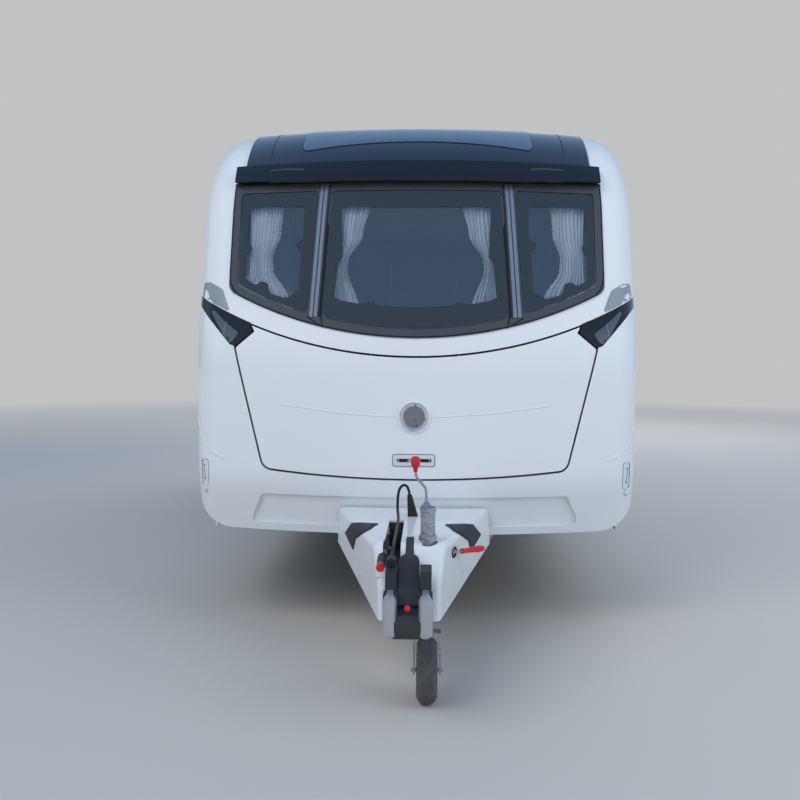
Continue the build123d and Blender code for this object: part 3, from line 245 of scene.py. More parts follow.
def laidOn(node, loops, toward=(0, 1, 0), lift=0.001, thick=0.003, cell=0.05, start=2.0, bevel=0.0):
    # a sheet with the outline loops[0], and the hole loops[1], wrapped onto a node's surface
    mesh = bpy.data.meshes.new("laid")
    points, edges = [], []
    for loop in loops:
        base = len(points)
        points += [tuple(point) for point in loop]
        edges += [(base + i, base + (i + 1) % len(loop)) for i in range(len(loop))]
    mesh.from_pydata(points, edges, [])
    piece = bpy.data.objects.new("laid", mesh)
    bpy.context.collection.objects.link(piece)
    only(piece)
    bpy.ops.object.mode_set(mode="EDIT")
    bpy.ops.mesh.select_all(action="SELECT")
    if len(loops) > 1:
        bpy.ops.mesh.bridge_edge_loops()
    else:
        bpy.ops.mesh.edge_face_add()
    bpy.ops.mesh.select_all(action="SELECT")
    bpy.ops.mesh.quads_convert_to_tris()
    across = Vector((1, 0, 0)) if abs(toward[0]) < 0.7 else Vector((0, 1, 0))
    upward = across.cross(Vector(toward)).normalized()
    spots = [Vector(p) for p in points]
    for way in (across, upward):
        low, high = min(p.dot(way) for p in spots), max(p.dot(way) for p in spots)
        count = int((high - low) / cell)
        for k in range(1, count + 1):
            bpy.ops.mesh.select_all(action="SELECT")
            bpy.ops.mesh.bisect(plane_co=way * (low + (high - low) * k / (count + 1)), plane_no=way)
    bpy.ops.mesh.select_all(action="SELECT")
    bpy.ops.mesh.remove_doubles(threshold=0.0001)
    bpy.ops.object.mode_set(mode="OBJECT")
    for corner in piece.data.vertices:
        corner.co = onto(node, corner.co, toward, lift, start)
    bpy.ops.object.mode_set(mode="EDIT")
    bpy.ops.mesh.select_all(action="SELECT")
    bpy.ops.mesh.normals_make_consistent(inside=False)
    bpy.ops.object.mode_set(mode="OBJECT")
    if sum((face.normal for face in piece.data.polygons), Vector()).dot(Vector(toward)) > 0:
        piece.data.flip_normals()
    change = piece.modifiers.new("thickness", "SOLIDIFY")
    change.thickness = thick
    change.offset = 1
    if bevel:
        bevelled(piece, bevel, 2, 50)
    return settle(piece)


def ribbon(node, path, width, thick, toward=(0, 1, 0), lift=0.0, cell=0.05, bevel=0.001):
    # a strip of even width along a path, wrapped onto a node's surface
    points = [Vector(p) for p in path]
    left, right = [], []
    for i, point in enumerate(points):
        run = points[min(i + 1, len(points) - 1)] - points[max(i - 1, 0)]
        side = run.cross(Vector(toward)).normalized() * width / 2
        left.append(point + side)
        right.append(point - side)
    return laidOn(node, [left + right[::-1]], toward, lift, thick, cell, bevel=bevel)


def bead(node, path, radius, toward=(0, 1, 0), lift=0.0, cyclic=False, step=0.03, sides=2):
    # a round bead along a path, on a node's surface
    runs = list(zip(path, path[1:])) + ([(path[-1], path[0])] if cyclic else [])
    knots = []
    for a, b in runs:
        a, b = Vector(a), Vector(b)
        count = max(1, int((b - a).length / step))
        knots += [a.lerp(b, k / count) for k in range(count)]
    if not cyclic:
        knots.append(Vector(path[-1]))
    return swept([onto(node, knot, toward, lift) for knot in knots], radius, sides=sides, cyclic=cyclic)


def corners(x, z, a, b):
    # of the rectangle about (x, z), with the half sizes a and b
    return [(x - a, z - b), (x + a, z - b), (x + a, z + b), (x - a, z + b)]


def flipped(points, flip):
    return [(flip * x, z) for x, z in points]


def frontLoop(points, y=ahead):
    return [(x, y, z) for x, z in points]


def grown(middle, size, radius, grow):
    outline = corners(*middle, size[0] / 2 + grow, size[1] / 2 + grow)
    return rounded(outline, max(radius + grow, 0.001), 6)


def sideLoop(side, middle, size, radius, grow=0.0):
    # a rounded rectangle beside a side wall, as (y, z) middle and size
    return [(side * beside, y, z) for y, z in grown(middle, size, radius, grow)]


def rearLoop(middle, size, radius, grow=0.0):
    return [(x, behind, z) for x, z in grown(middle, size, radius, grow)]


def ring(node, middle, size, outer, inner, side=0, **look):
    # a frame round a rectangle, on the rear or on one side; outer and inner are (corner radius, growth)
    loops = [sideLoop(side, middle, size, *edge) if side else rearLoop(middle, size, *edge)
             for edge in (outer, inner)]
    return laidOn(node, loops, toward=(-side, 0, 0) if side else forward, **look)


def sideBlock(side, low, high, bevel=0.003, segments=2):
    # a block given for the nearside, on either side
    x0, x1 = sorted((side * low[0], side * high[0]))
    return block((x0, *low[1:]), (x1, *high[1:]), bevel, segments)


# effects that several finishes share, as node groups
def newGroup(name, inputs, outputs):
    group = bpy.data.node_groups.new(name, "ShaderNodeTree")
    for label, kind, value in inputs:
        socket = group.interface.new_socket(name=label, in_out="INPUT", socket_type="NodeSocket" + kind)
        if value is not None:
            socket.default_value = value
    for label, kind in outputs:
        group.interface.new_socket(name=label, in_out="OUTPUT", socket_type="NodeSocket" + kind)
    return group, group.nodes.new("NodeGroupInput"), group.nodes.new("NodeGroupOutput")


def addNode(tree, kind, links=(), **values):
    node = tree.nodes.new("ShaderNode" + kind)
    for key, value in values.items():
        if hasattr(node, key):
            setattr(node, key, value)
        else:
            node.inputs[key].default_value = value
    for socket, source in links:
        tree.links.new(source, node.inputs[socket])
    return node


def times(tree, first, second, **values):
    return addNode(tree, "Math", [(0, first), (1, second)], operation="MULTIPLY", **values)


def spread(tree, value, low, high):
    # 0 at low and 1 at high
    return addNode(tree, "MapRange", [("Value", value)], **{"From Min": low, "From Max": high})


def buildWeathering():
    # slow colour change, road film near the ground, fine unevenness
    group, given, result = newGroup("weathering", [
        ("Colour", "Color", (0.8, 0.8, 0.8, 1)), ("Film colour", "Color", (0.35, 0.33, 0.3, 1)),
        ("Film", "Float", 0.2), ("Film height", "Float", 0.9), ("Scale", "Float", 6.0),
        ("Roughness", "Float", 0.2), ("Roughness spread", "Float", 0.08),
        ("Bump scale", "Float", 160.0), ("Bump", "Float", 0.02),
    ], [("Colour", "Color"), ("Roughness", "Float"), ("Normal", "Vector")])
    place = addNode(group, "TexCoord")
    parts = addNode(group, "SeparateXYZ", [(0, place.outputs["Object"])])
    cloud = addNode(group, "TexNoise", [("Vector", place.outputs["Object"]),
                                        ("Scale", given.outputs["Scale"])], Detail=5.0)
    height = addNode(group, "MapRange", [("Value", parts.outputs["Z"]),
                                         ("From Max", given.outputs["Film height"])])
    height.inputs["To Min"].default_value = 1.0
    height.inputs["To Max"].default_value = 0.0
    patches = times(group, height.outputs[0], cloud.outputs[0])
    film = times(group, patches.outputs[0], given.outputs["Film"], use_clamp=True)
    colour = addNode(group, "Mix", [("Factor", film.outputs[0]), (6, given.outputs["Colour"]),
                                    (7, given.outputs["Film colour"])], data_type="RGBA")
    offset = addNode(group, "Math", [(0, cloud.outputs[0])], operation="SUBTRACT")
    offset.inputs[1].default_value = 0.5
    rough = addNode(group, "Math", [(0, offset.outputs[0]), (1, given.outputs["Roughness spread"]),
                                    (2, given.outputs["Roughness"])], operation="MULTIPLY_ADD")
    roughFilm = addNode(group, "Math", [(0, rough.outputs[0]), (1, film.outputs[0])], operation="ADD",
                        use_clamp=True)
    fine = addNode(group, "TexNoise", [("Vector", place.outputs["Object"]),
                                       ("Scale", given.outputs["Bump scale"])], Detail=3.0)
    bump = addNode(group, "Bump", [("Height", fine.outputs[0]), ("Strength", given.outputs["Bump"])],
                   Distance=0.001)
    group.links.new(colour.outputs[2], result.inputs["Colour"])
    group.links.new(roughFilm.outputs[0], result.inputs["Roughness"])
    group.links.new(bump.outputs[0], result.inputs["Normal"])
    return group


def buildSpangle():
    # the frosted flakes of hot-dip zinc
    group, given, result = newGroup("zincSpangle", [
        ("Light", "Color", (0.62, 0.63, 0.64, 1)), ("Dark", "Color", (0.42, 0.43, 0.45, 1)),
        ("Scale", "Float", 90.0),
    ], [("Colour", "Color"), ("Roughness", "Float"), ("Normal", "Vector")])
    place = addNode(group, "TexCoord")
    flakes = addNode(group, "TexVoronoi", [("Vector", place.outputs["Object"]),
                                           ("Scale", given.outputs["Scale"])])
    parts = addNode(group, "SeparateColor", [(0, flakes.outputs["Color"])])
    colour = addNode(group, "Mix", [("Factor", parts.outputs[0]), (6, given.outputs["Light"]),
                                    (7, given.outputs["Dark"])], data_type="RGBA")
    rough = addNode(group, "MapRange", [("Value", parts.outputs[1])])
    rough.inputs["To Min"].default_value = 0.38
    rough.inputs["To Max"].default_value = 0.58
    fine = addNode(group, "TexNoise", [("Vector", place.outputs["Object"])], Scale=400.0, Detail=3.0)
    bump = addNode(group, "Bump", [("Height", fine.outputs[0])], Strength=0.12, Distance=0.001)
    group.links.new(colour.outputs[2], result.inputs["Colour"])
    group.links.new(rough.outputs[0], result.inputs["Roughness"])
    group.links.new(bump.outputs[0], result.inputs["Normal"])
    return group


def buildWeave():
    # plain woven cloth, its threads crossing in two directions
    group, given, result = newGroup("clothWeave", [
        ("Warp", "Color", (0.8, 0.8, 0.8, 1)), ("Weft", "Color", (0.6, 0.6, 0.6, 1)),
        ("Threads", "Float", 420.0),
        ("Depth", "Float", 0.4),
    ], [("Colour", "Color"), ("Normal", "Vector")])
    place = addNode(group, "TexCoord")
    lines = []
    for way in ("X", "Z"):
        wave = addNode(group, "TexWave", [("Vector", place.outputs["Object"]),
                                          ("Scale", given.outputs["Threads"])], bands_direction=way,
                       Distortion=0.6, Detail=1.0)
        lines.append(wave)
    both = times(group, lines[0].outputs["Fac"], lines[1].outputs["Fac"])
    blotch = addNode(group, "TexNoise", [("Vector", place.outputs["Object"])], Scale=18.0, Detail=4.0)
    mixed = times(group, both.outputs[0], blotch.outputs[0], use_clamp=True)
    colour = addNode(group, "Mix", [("Factor", mixed.outputs[0]), (6, given.outputs["Warp"]),
                                    (7, given.outputs["Weft"])], data_type="RGBA")
    bump = addNode(group, "Bump", [("Height", both.outputs[0]), ("Strength", given.outputs["Depth"])],
                   Distance=0.0006)
    group.links.new(colour.outputs[2], result.inputs["Colour"])
    group.links.new(bump.outputs[0], result.inputs["Normal"])
    return group


groups = {"weathering": buildWeathering(), "zincSpangle": buildSpangle(), "clothWeave": buildWeave()}


def makeFinish(name, recipe):
    material = bpy.data.materials.new(name)
    material.use_nodes = True
    shader = material.node_tree.nodes["Principled BSDF"]
    effect = material.node_tree.nodes.new("ShaderNodeGroup")
    effect.node_tree = groups[recipe["effect"]]
    for label, value in recipe.get("look", {}).items():
        effect.inputs[label].default_value = value
    for label, value in recipe.get("shader", {}).items():
        shader.inputs[label].default_value = value
    link = material.node_tree.links.new
    link(effect.outputs["Colour"], shader.inputs["Base Color"])
    if "Roughness" in effect.outputs:
        link(effect.outputs["Roughness"], shader.inputs["Roughness"])
    link(effect.outputs["Normal"], shader.inputs["Normal"])
    material.diffuse_color = recipe.get("look", {}).get("Colour", (0.6, 0.6, 0.6, 1))
    return material


shaderInputs = {"coat": "Coat Weight", "coatRough": "Coat Roughness", "coatIor": "Coat IOR",
                "metal": "Metallic", "clear": "Transmission Weight", "ior": "IOR",
                "specular": "Specular IOR Level"}


def paint(slot, colour, rough, film=0.0, bump=0.02, scale=6.0, bumpScale=160.0, spread=0.05, filmTop=0.9,
          **extra):
    shader = {shaderInputs[key]: value for key, value in extra.items()}
    return {"slot": slot, "effect": "weathering", "shader": shader, "look": {
        "Colour": (*colour, 1), "Roughness": rough, "Film": film, "Bump": bump, "Scale": scale,
        "Bump scale": bumpScale,
        "Roughness spread": spread, "Film height": filmTop,
    }}


recipes = {
    "gelcoat": paint("white_moulding", (0.83, 0.85, 0.87), 0.2, film=0.22, bump=0.012, bumpScale=60, coat=0.4,
                     coatRough=0.06),
    "sidePanel": paint("white_moulding", (0.8, 0.82, 0.84), 0.28, film=0.05, bump=0.006, bumpScale=90,
                       spread=0.01, coat=0.2, coatRough=0.1),
    "surroundGrey": paint("dark_grey_surround", (0.085, 0.092, 0.1), 0.32, bump=0.03, bumpScale=260,
                          metal=0.35, coat=0.2),
    "blackGloss": paint("black_gloss", (0.006, 0.006, 0.008), 0.07, bump=0.004, bumpScale=40, spread=0.04,
                        coat=0.6, coatRough=0.03),
    "roofGlass": paint("black_gloss", (0.012, 0.015, 0.022), 0.06, bump=0.004, bumpScale=20, spread=0.03,
                       coat=1.0, coatIor=1.65, coatRough=0.03),
    # the sunroof pane: a lighter blue over the glass's dark tint, as painted reflection of the sky
    "roofPaneSkyReflection": paint("black_gloss", (0.07, 0.11, 0.16), 0.08, bump=0.004, bumpScale=20, spread=0.04,
                      coat=1.0, coatIor=2.2, coatRough=0.03),
    "brushedTrim": paint("alloy", (0.42, 0.44, 0.47), 0.3, bump=0.04, bumpScale=220, metal=0.8, coat=0.3),
    "stripGrey": paint("dark_grey_surround", (0.36, 0.39, 0.42), 0.3, bump=0.02, bumpScale=120, metal=0.3,
                       coat=0.3),
    "plateWhite": paint("white_plastic", (0.8, 0.8, 0.79), 0.25, film=0.15, bump=0.02, bumpScale=900),
    "pane": paint("tinted_glass", (0.6, 0.66, 0.74), 0.03, bump=0.002, bumpScale=12, spread=0.02,
                  clear=1.0, ior=1.49, coat=1.0, coatIor=2.0, coatRough=0.04),
    "frit": paint("black_gloss", (0.028, 0.034, 0.04), 0.12, bump=0.004, bumpScale=30, coat=0.8,
                  coatRough=0.05),
    "smokedDome": paint("smoked_dome", (0.25, 0.25, 0.25), 0.1, bump=0.01, clear=0.85, ior=1.49),
    "whitePlastic": paint("white_plastic", (0.72, 0.73, 0.72), 0.42, film=0.1, bump=0.05, bumpScale=500),
    "floorBoard": paint("floor_board", (0.1, 0.085, 0.07), 0.75, film=0.5, bump=0.25, bumpScale=220,
                        scale=12),
    "zinc": {"slot": "galvanised_steel", "effect": "zincSpangle", "look": {"Scale": 110.0},
             "shader": {"Metallic": 0.9}},
    "castSilver": paint("cast_silver", (0.55, 0.57, 0.6), 0.36, film=0.2, bump=0.08, bumpScale=420,
                        metal=0.7),
    "darkCast": paint("cast_silver", (0.03, 0.032, 0.035), 0.45, film=0.25, bump=0.15, bumpScale=300,
                      metal=0.3),
    # lining and kitchen top in near black and dark grey: painted shade of the dim inside, not their own
    # colours
    "liningPaintedShade": paint("furniture_board", (0.055, 0.06, 0.07), 0.6, bump=0.08, bumpScale=300, scale=9),
    "kitchenWhitePaintedShade": paint("furniture_board", (0.2, 0.21, 0.22), 0.3, bump=0.02),
    "signalRed": paint("rear_lamp_red", (0.5, 0.01, 0.012), 0.2, bump=0.25, bumpScale=700, coat=0.6),
    "blackPlastic": paint("black_plastic", (0.022, 0.023, 0.026), 0.5, film=0.15, bump=0.12, bumpScale=700),
    "greyPlastic": paint("black_plastic", (0.2, 0.21, 0.22), 0.45, bump=0.08, bumpScale=600),
    "padTread": paint("black_plastic", (0.02, 0.022, 0.025), 0.62, bump=0.4, bumpScale=900),
    "tyreRubber": paint("tyre_rubber", (0.018, 0.018, 0.019), 0.78, film=0.35, bump=0.25, bumpScale=420,
                        scale=14, filmTop=0.7),
    "dustyRubber": paint("tyre_rubber", (0.04, 0.042, 0.047), 0.88, film=0.5, bump=0.9, bumpScale=420,
                         scale=40, filmTop=1.0),
    "wheelSilver": paint("alloy", (0.5, 0.52, 0.54), 0.3, film=0.3, bump=0.02, metal=0.85, coat=0.4),
    "redPlastic": paint("rear_lamp_red", (0.62, 0.015, 0.02), 0.35, bump=0.04, bumpScale=500, coat=0.2),
    "redLens": paint("rear_lamp_red", (0.4, 0.008, 0.01), 0.12, bump=0.02, bumpScale=240, clear=0.2,
                     coat=0.5),
    "amberLens": paint("rear_lamp_red", (0.8, 0.25, 0.01), 0.14, bump=0.02, bumpScale=240, clear=0.2,
                       coat=0.5),
    "clearLens": paint("marker_white", (0.75, 0.78, 0.82), 0.08, bump=0.03, bumpScale=300, coat=0.6,
                       specular=0.7),
    "chrome": paint("bright_chrome", (0.8, 0.81, 0.82), 0.08, bump=0.01, metal=1.0),
    "darkChrome": paint("bright_chrome", (0.3, 0.32, 0.35), 0.12, bump=0.02, bumpScale=40, metal=1.0),
    "smokedLens": paint("black_gloss", (0.04, 0.045, 0.05), 0.12, bump=0.01, coat=0.6),
    "lampGlass": paint("black_gloss", (0.05, 0.06, 0.075), 0.04, bump=0.006, bumpScale=30, coat=1.0,
                       coatIor=2.2),
    "steel": paint("galvanised_steel", (0.5, 0.5, 0.5), 0.32, bump=0.08, bumpScale=300, metal=1.0),
    "board": paint("furniture_board", (0.2, 0.15, 0.1), 0.4, bump=0.05, bumpScale=60, scale=9),
    "seatCloth": {"slot": "seat_cloth", "effect": "clothWeave",
                  "look": {"Warp": (0.2, 0.19, 0.18, 1), "Weft": (0.12, 0.115, 0.11, 1), "Threads": 260.0},
                  "shader": {"Roughness": 0.85, "Sheen Weight": 0.3}},
    "curtainCloth": {"slot": "curtain_cloth", "effect": "clothWeave",
                     "look": {"Warp": (0.95, 0.96, 0.98, 1), "Weft": (0.82, 0.85, 0.9, 1), "Threads": 420.0},
                     "shader": {"Roughness": 0.8, "Sheen Weight": 0.4}},
    "blindCloth": {"slot": "curtain_cloth", "effect": "clothWeave",
                   "look": {"Warp": (0.5, 0.52, 0.56, 1), "Weft": (0.42, 0.44, 0.48, 1), "Threads": 300.0},
                   "shader": {"Roughness": 0.8}},
    "cableRubber": paint("cable_rubber", (0.014, 0.014, 0.015), 0.48, bump=0.08, bumpScale=600),
    # black rubber of seals and beads; also the colour of the painted shade in keyholes, flue holes and latch
    # slots, and round the latch plate
    "rubberAndPaintedShade": paint("cable_rubber", (0.012, 0.012, 0.013), 0.6, bump=0.05, bumpScale=500),
}
finishes = {name: makeFinish(name, recipe) for name, recipe in recipes.items()}
nodeFinish = {
    "gelcoat": ["front_cap", "front_moulding", "locker_lid", "rear_panel", "rear_bumper", "fairing", "roof"],
    "sidePanel": ["wall_nearside", "wall_offside", "entrance_door", "wet_locker_door", "cassette_door",
                  "side_skirts"],
    "surroundGrey": ["window_surround"],
    "blackGloss": ["brow", "corner_lamps"],
    "roofGlass": ["sunroof"],
    "pane": ["front_panes", "body_windows", "door_window"],
    "smokedDome": ["rooflight_domes"],
    "whitePlastic": ["rooflight_frames", "wheel_boxes", "awning_rails"],
    "floorBoard": ["floor"],
    "zinc": ["chassis_rails", "drawbar", "cross_members", "axle_tube", "trailing_arms", "jockey_tube",
             "jockey_stem", "jockey_fork", "jockey_crank", "door_hinges", "steady_front_nearside",
             "steady_front_offside", "steady_rear_nearside", "steady_rear_offside"],
    "castSilver": ["overrun"],
    "darkCast": ["coupling_head"],
    "blackPlastic": ["coupling_lever", "handbrake_lever"],
    "padTread": ["fairing_pads"],
    "tyreRubber": ["tyre_nearside", "tyre_offside"], "dustyRubber": ["jockey_wheel"],
    "wheelSilver": ["rim_nearside", "rim_offside"],
    "clearLens": ["marker_lamps"],
    "redLens": ["rear_lamps"],
    "chrome": ["lid_fittings"],
    "board": ["locker_bulkhead"],
    "seatCloth": ["lounge_seats"],
    "curtainCloth": ["curtains"],
    "cableRubber": ["cable_boot", "cable", "plug"],
}
for finish, nodes in nodeFinish.items():
    for node in nodes:
        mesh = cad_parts[node].data
        mesh.materials.clear()
        mesh.materials.append(finishes[finish])
for node in ("front_panes", "body_windows", "door_window", "rooflight_domes"):
    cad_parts[node].visible_shadow = False
print("stage: finishes on", sum(len(nodes) for nodes in nodeFinish.values()), "nodes")


# the 13-pin cable, from its boot to the plug parked on the coupling
cable = {
    "points": [
        (-0.016, -2.674, 0.7383), (-0.0235, -2.669, 0.788), (-0.066, -2.682, 0.776), (-0.072, -2.728, 0.69),
        (-0.062, -2.818, 0.654), (-0.062, -3.05, 0.648), (-0.064, -3.33, 0.647), (-0.066, -3.39, 0.618),
        (-0.068, -3.44, 0.6115),
    ],
    "radius": 0.0065,
}


def buildCable(facts):
    line = bpy.data.curves.new("towingCable", "CURVE")
    line.dimensions = "3D"
    line.bevel_depth = facts["radius"]
    line.bevel_resolution = 5
    line.resolution_u = 16
    line.use_fill_caps = True
    spline = line.splines.new("NURBS")
    spline.points.add(len(facts["points"]) - 1)
    for knot, point in zip(spline.points, facts["points"]):
        knot.co = (*point, 1)
    spline.order_u = 3
    spline.use_endpoint_u = True
    spline.resolution_u = 16
    piece = bpy.data.objects.new("towingCable", line)
    bpy.context.collection.objects.link(piece)
    line.materials.append(finishes["cableRubber"])
    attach(piece, "caravan")
    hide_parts("cable")
    return piece


buildCable(cable)
print("stage: cable")


# floor, light and backdrop colour
studio = {
    "floor": (0.62, 0.575, 0.52), "backdrop": (0.86, 0.87, 0.88), "strength": 0.62, "fade": (6.5, 17.0),
    "lowSky": (0.3, 0.12), "offside": {"from": (-0.55, -0.85), "colour": (0.03, 0.035, 0.04)},
    "nearside": {"from": (0.55, 0.85), "colour": (0.45, 0.8, 1.6)},
    "sky": [(0.0, (0.66, 0.72, 0.78)), (0.12, (0.74, 0.84, 0.93)), (0.5, (0.36, 0.56, 0.86)),
            (1.0, (0.2, 0.4, 0.74))],
    "lamps": [("keyLight", (-5.0, -8.5, 8.5), (0, -1.5, 1.0), 7.0, 520, (1.0, 0.98, 0.96)),
              ("fillLight", (7.5, -6.0, 5.5), (0, -1.0, 1.0), 7.0, 300, (0.9, 0.95, 1.0)),
              ("backLight", (3.0, 9.5, 7.0), (0, 2.0, 1.2), 7.0, 520, (0.98, 0.99, 1.0))],
}


def buildStudio(facts):
    nothing()
    bpy.ops.mesh.primitive_plane_add(size=90, location=(0, 0, -0.0015))
    floor = bpy.context.object
    floor.name = "studioFloor"
    material = bpy.data.materials.new("studioFloor")
    material.use_nodes = True
    shader = material.node_tree.nodes["Principled BSDF"]
    shader.inputs["Base Color"].default_value = (*facts["floor"], 1)
    shader.inputs["Roughness"].default_value = 0.9
    ground = material.node_tree
    spot = addNode(ground, "TexCoord")
    far = addNode(ground, "VectorMath", [(0, spot.outputs["Object"])], operation="LENGTH")
    fade = spread(ground, far.outputs["Value"], *facts["fade"])
    glow = addNode(ground, "Emission", Strength=facts["strength"])
    glow.inputs["Color"].default_value = (*facts["backdrop"], 1)
    blend = addNode(ground, "MixShader", [(0, fade.outputs[0]), (1, shader.outputs[0]), (2, glow.outputs[0])])
    ground.links.new(blend.outputs[0], ground.nodes["Material Output"].inputs[0])
    floor.data.materials.append(material)
    world = bpy.data.worlds.new("studioSky")
    bpy.context.scene.world = world
    world.use_nodes = True
    sky = world.node_tree
    back = sky.nodes["Background"]
    back.inputs["Strength"].default_value = facts["strength"]
    place = addNode(sky, "TexCoord")
    parts = addNode(sky, "SeparateXYZ", [(0, place.outputs["Generated"])])
    ramp = addNode(sky, "ValToRGB", [(0, parts.outputs["Z"])])
    stops = ramp.color_ramp.elements
    while len(stops) < len(facts["sky"]):
        stops.new(0.5)
    for stop, (where, colour) in zip(stops, facts["sky"]):
        stop.position = where
        stop.color = (*colour, 1)
    # what the gloss sees low down: shade to the offside, open sky to the nearside
    low = spread(sky, parts.outputs["Z"], *facts["lowSky"])
    rays = addNode(sky, "LightPath")
    shown = ramp.outputs[0]
    for side in ("offside", "nearside"):
        aside = spread(sky, parts.outputs["X"], *facts[side]["from"])
        seen = times(sky, times(sky, low.outputs[0], aside.outputs[0]).outputs[0],
                     rays.outputs["Is Glossy Ray"])
        tinted = addNode(sky, "Mix", [("Factor", seen.outputs[0]), (6, shown)], data_type="RGBA")
        tinted.inputs[7].default_value = (*facts[side]["colour"], 1)
        shown = tinted.outputs[2]
    plain = addNode(sky, "Mix", [("Factor", rays.outputs["Is Camera Ray"]), (6, shown)], data_type="RGBA")
    plain.inputs[7].default_value = (*facts["backdrop"], 1)
    sky.links.new(plain.outputs[2], back.inputs["Color"])
    for name, place, aim, size, power, colour in facts["lamps"]:
        nothing()
        bpy.ops.object.light_add(type="AREA", location=place)
        lamp = bpy.context.object
        lamp.name = name
        lamp.data.size = size
        lamp.data.energy = power
        lamp.data.color = colour
        lamp.visible_glossy = False
        lamp.visible_transmission = False
        lamp.rotation_euler = (Vector(aim) - Vector(place)).to_track_quat("-Z", "Y").to_euler()


buildStudio(studio)
bpy.context.scene.view_settings.view_transform = "Standard"
print("stage: studio")


# the printed dark borders of the front panes
frontPanes = {
    "centre": {"outer": [(-0.421, 2.207), (0.421, 2.207), (0.46, 1.576), (0.4, 1.562), (0.3, 1.543),
                         (0.2, 1.531), (0.1, 1.523), (0.0, 1.52), (-0.1, 1.523), (-0.2, 1.531), (-0.3, 1.543),
                         (-0.4, 1.562), (-0.46, 1.576)], "clear": [(-0.373, 2.127), (0.373, 2.127),
                                                                   (0.36, 1.86), (0.392, 1.84), (0.4, 1.66),
                                                                   (0.258, 1.634), (0.252, 1.652),
                                                                   (0.2, 1.652), (0.194, 1.63), (0, 1.62),
                                                                   (-0.194, 1.63), (-0.2, 1.652),
                                                                   (-0.252, 1.652), (-0.258, 1.634),
                                                                   (-0.4, 1.66), (-0.392, 1.84),
                                                                   (-0.36, 1.86)]},
    "side": {"outer": [(0.495, 2.207), (0.896, 2.207), (0.896, 1.744), (0.85, 1.716), (0.8, 1.692),
                       (0.7, 1.65), (0.6, 1.615), (0.533, 1.596)],
             "clear": [(0.562, 2.135), (0.852, 2.135), (0.858, 1.955), (0.832, 1.94), (0.832, 1.915),
                       (0.866, 1.895), (0.86, 1.765), (0.8, 1.732), (0.776, 1.752), (0.738, 1.742),
                       (0.728, 1.69), (0.64, 1.664), (0.58, 1.7), (0.572, 1.9), (0.598, 1.918),
                       (0.598, 1.945), (0.566, 1.96)]},
}


def sameCount(outer, inner, count=96):
    # both outlines with as many points, at equal turns about the hole's middle
    middle = sum((Vector(p) for p in inner), Vector((0, 0))) / len(inner)
    loops = []
    for outline in (outer, inner):
        loop = []
        for k in range(count):
            way = Vector((cos(2 * pi * k / count), sin(2 * pi * k / count)))
            best = None
            for i in range(len(outline)):
                a, b = Vector(outline[i - 1]) - middle, Vector(outline[i]) - middle
                side = b - a
                cross = way.x * side.y - way.y * side.x
                if abs(cross) < 1e-9:
                    continue
                t = (a.x * side.y - a.y * side.x) / cross
                s = (a.x * way.y - a.y * way.x) / cross
                if t > 0 and -1e-6 <= s <= 1 + 1e-6 and (best is None or t > best):
                    best = t
            loop.append(tuple(middle + way * (best or 0.01)))
        loops.append(loop)
    return loops


def buildFrit(facts):
    bands = []
    for part, flip in (("centre", 1), ("side", 1), ("side", -1)):
        outer = rounded(flipped(facts[part]["outer"], flip), 0.02, 3)
        clear = rounded(flipped(facts[part]["clear"], flip), 0.012, 3)
        outer, clear = sameCount(outer, clear)
        bands.append(laidOn("front_panes", [frontLoop(outer), frontLoop(clear)], lift=0.0006, thick=0.0006,
                            cell=0.04))
    return hand(bands, "frontFrit", "frit", smooth=40)


buildFrit(frontPanes)
print("stage: front panes")


# the lace curtains, gathered at their ties
curtains = {
    "pleat": 0.011, "rows": 60, "columns": 90,
    "sideOuter": {"top": 2.17, "bottom": 1.67, "lowest": 1.78,
                  "left": [(0, 0.868), (0.55, 0.862), (0.72, 0.858), (1, 0.862)],
                  "right": [(0, 0.69), (0.35, 0.7), (0.6, 0.74), (0.72, 0.735), (1, 0.66)], "folds": 9},
    "centre": {"top": 2.15, "bottom": 1.61, "lowest": 1.7, "left": [(0, 0.402), (0.5, 0.398), (0.56, 0.394),
                                                                    (1, 0.408)],
               "right": [(0, 0.236), (0.3, 0.27), (0.56, 0.345), (0.62, 0.35), (1, 0.29)], "folds": 8},
}


def along(stops, t):
    for (t0, a), (t1, b) in zip(stops, stops[1:]):
        if t <= t1:
            s = (t - t0) / (t1 - t0)
            return a + (b - a) * (s * s * (3 - 2 * s))
    return stops[-1][1]


def buildCurtain(facts, part, flip, name):
    nothing()
    cut = facts[part]
    rows, columns = facts["rows"], facts["columns"]
    bpy.ops.mesh.primitive_grid_add(x_subdivisions=columns, y_subdivisions=rows, size=2)
    piece = bpy.context.object
    for corner in piece.data.vertices:
        u, t = (corner.co.x + 1) / 2, (1 - corner.co.y) / 2
        near, far = along(cut["left"], t), along(cut["right"], t) - 0.007 * abs(sin(19 * pi * t))
        width = near - far
        slack = facts["pleat"] * (0.5 + 0.16 / max(width, 0.05) * 0.5)
        x = far + width * u + 0.004 * sin(5 * t + 9 * u)
        z = cut["top"] + (cut["bottom"] - cut["top"]) * t - 0.01 * u * sin(pi * t)
        base = onto("front_panes", (flip * x, ahead, max(z, cut["lowest"])), lift=-0.045)
        fold = slack * sin(2 * pi * cut["folds"] * u + 0.8 * sin(3 * t)) + 0.004 * sin(17 * u + 6 * t)
        corner.co = base + Vector((0, fold, 0))
        corner.co.z = z
    if flip < 0:
        piece.data.flip_normals()
    change = piece.modifiers.new("thickness", "SOLIDIFY")
    change.thickness = 0.0008
    hand(piece, name, "curtainCloth", smooth=80)
    return piece


curtainPieces = [buildCurtain(curtains, part, flip, f"{word}Curtain{side}") for part,
                 word in (("sideOuter", "corner"), ("centre", "lounge")) for flip,
                 side in ((1, "Nearside"), (-1, "Offside"))]
for piece in curtainPieces:
    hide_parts("curtains")
print("stage: curtains")

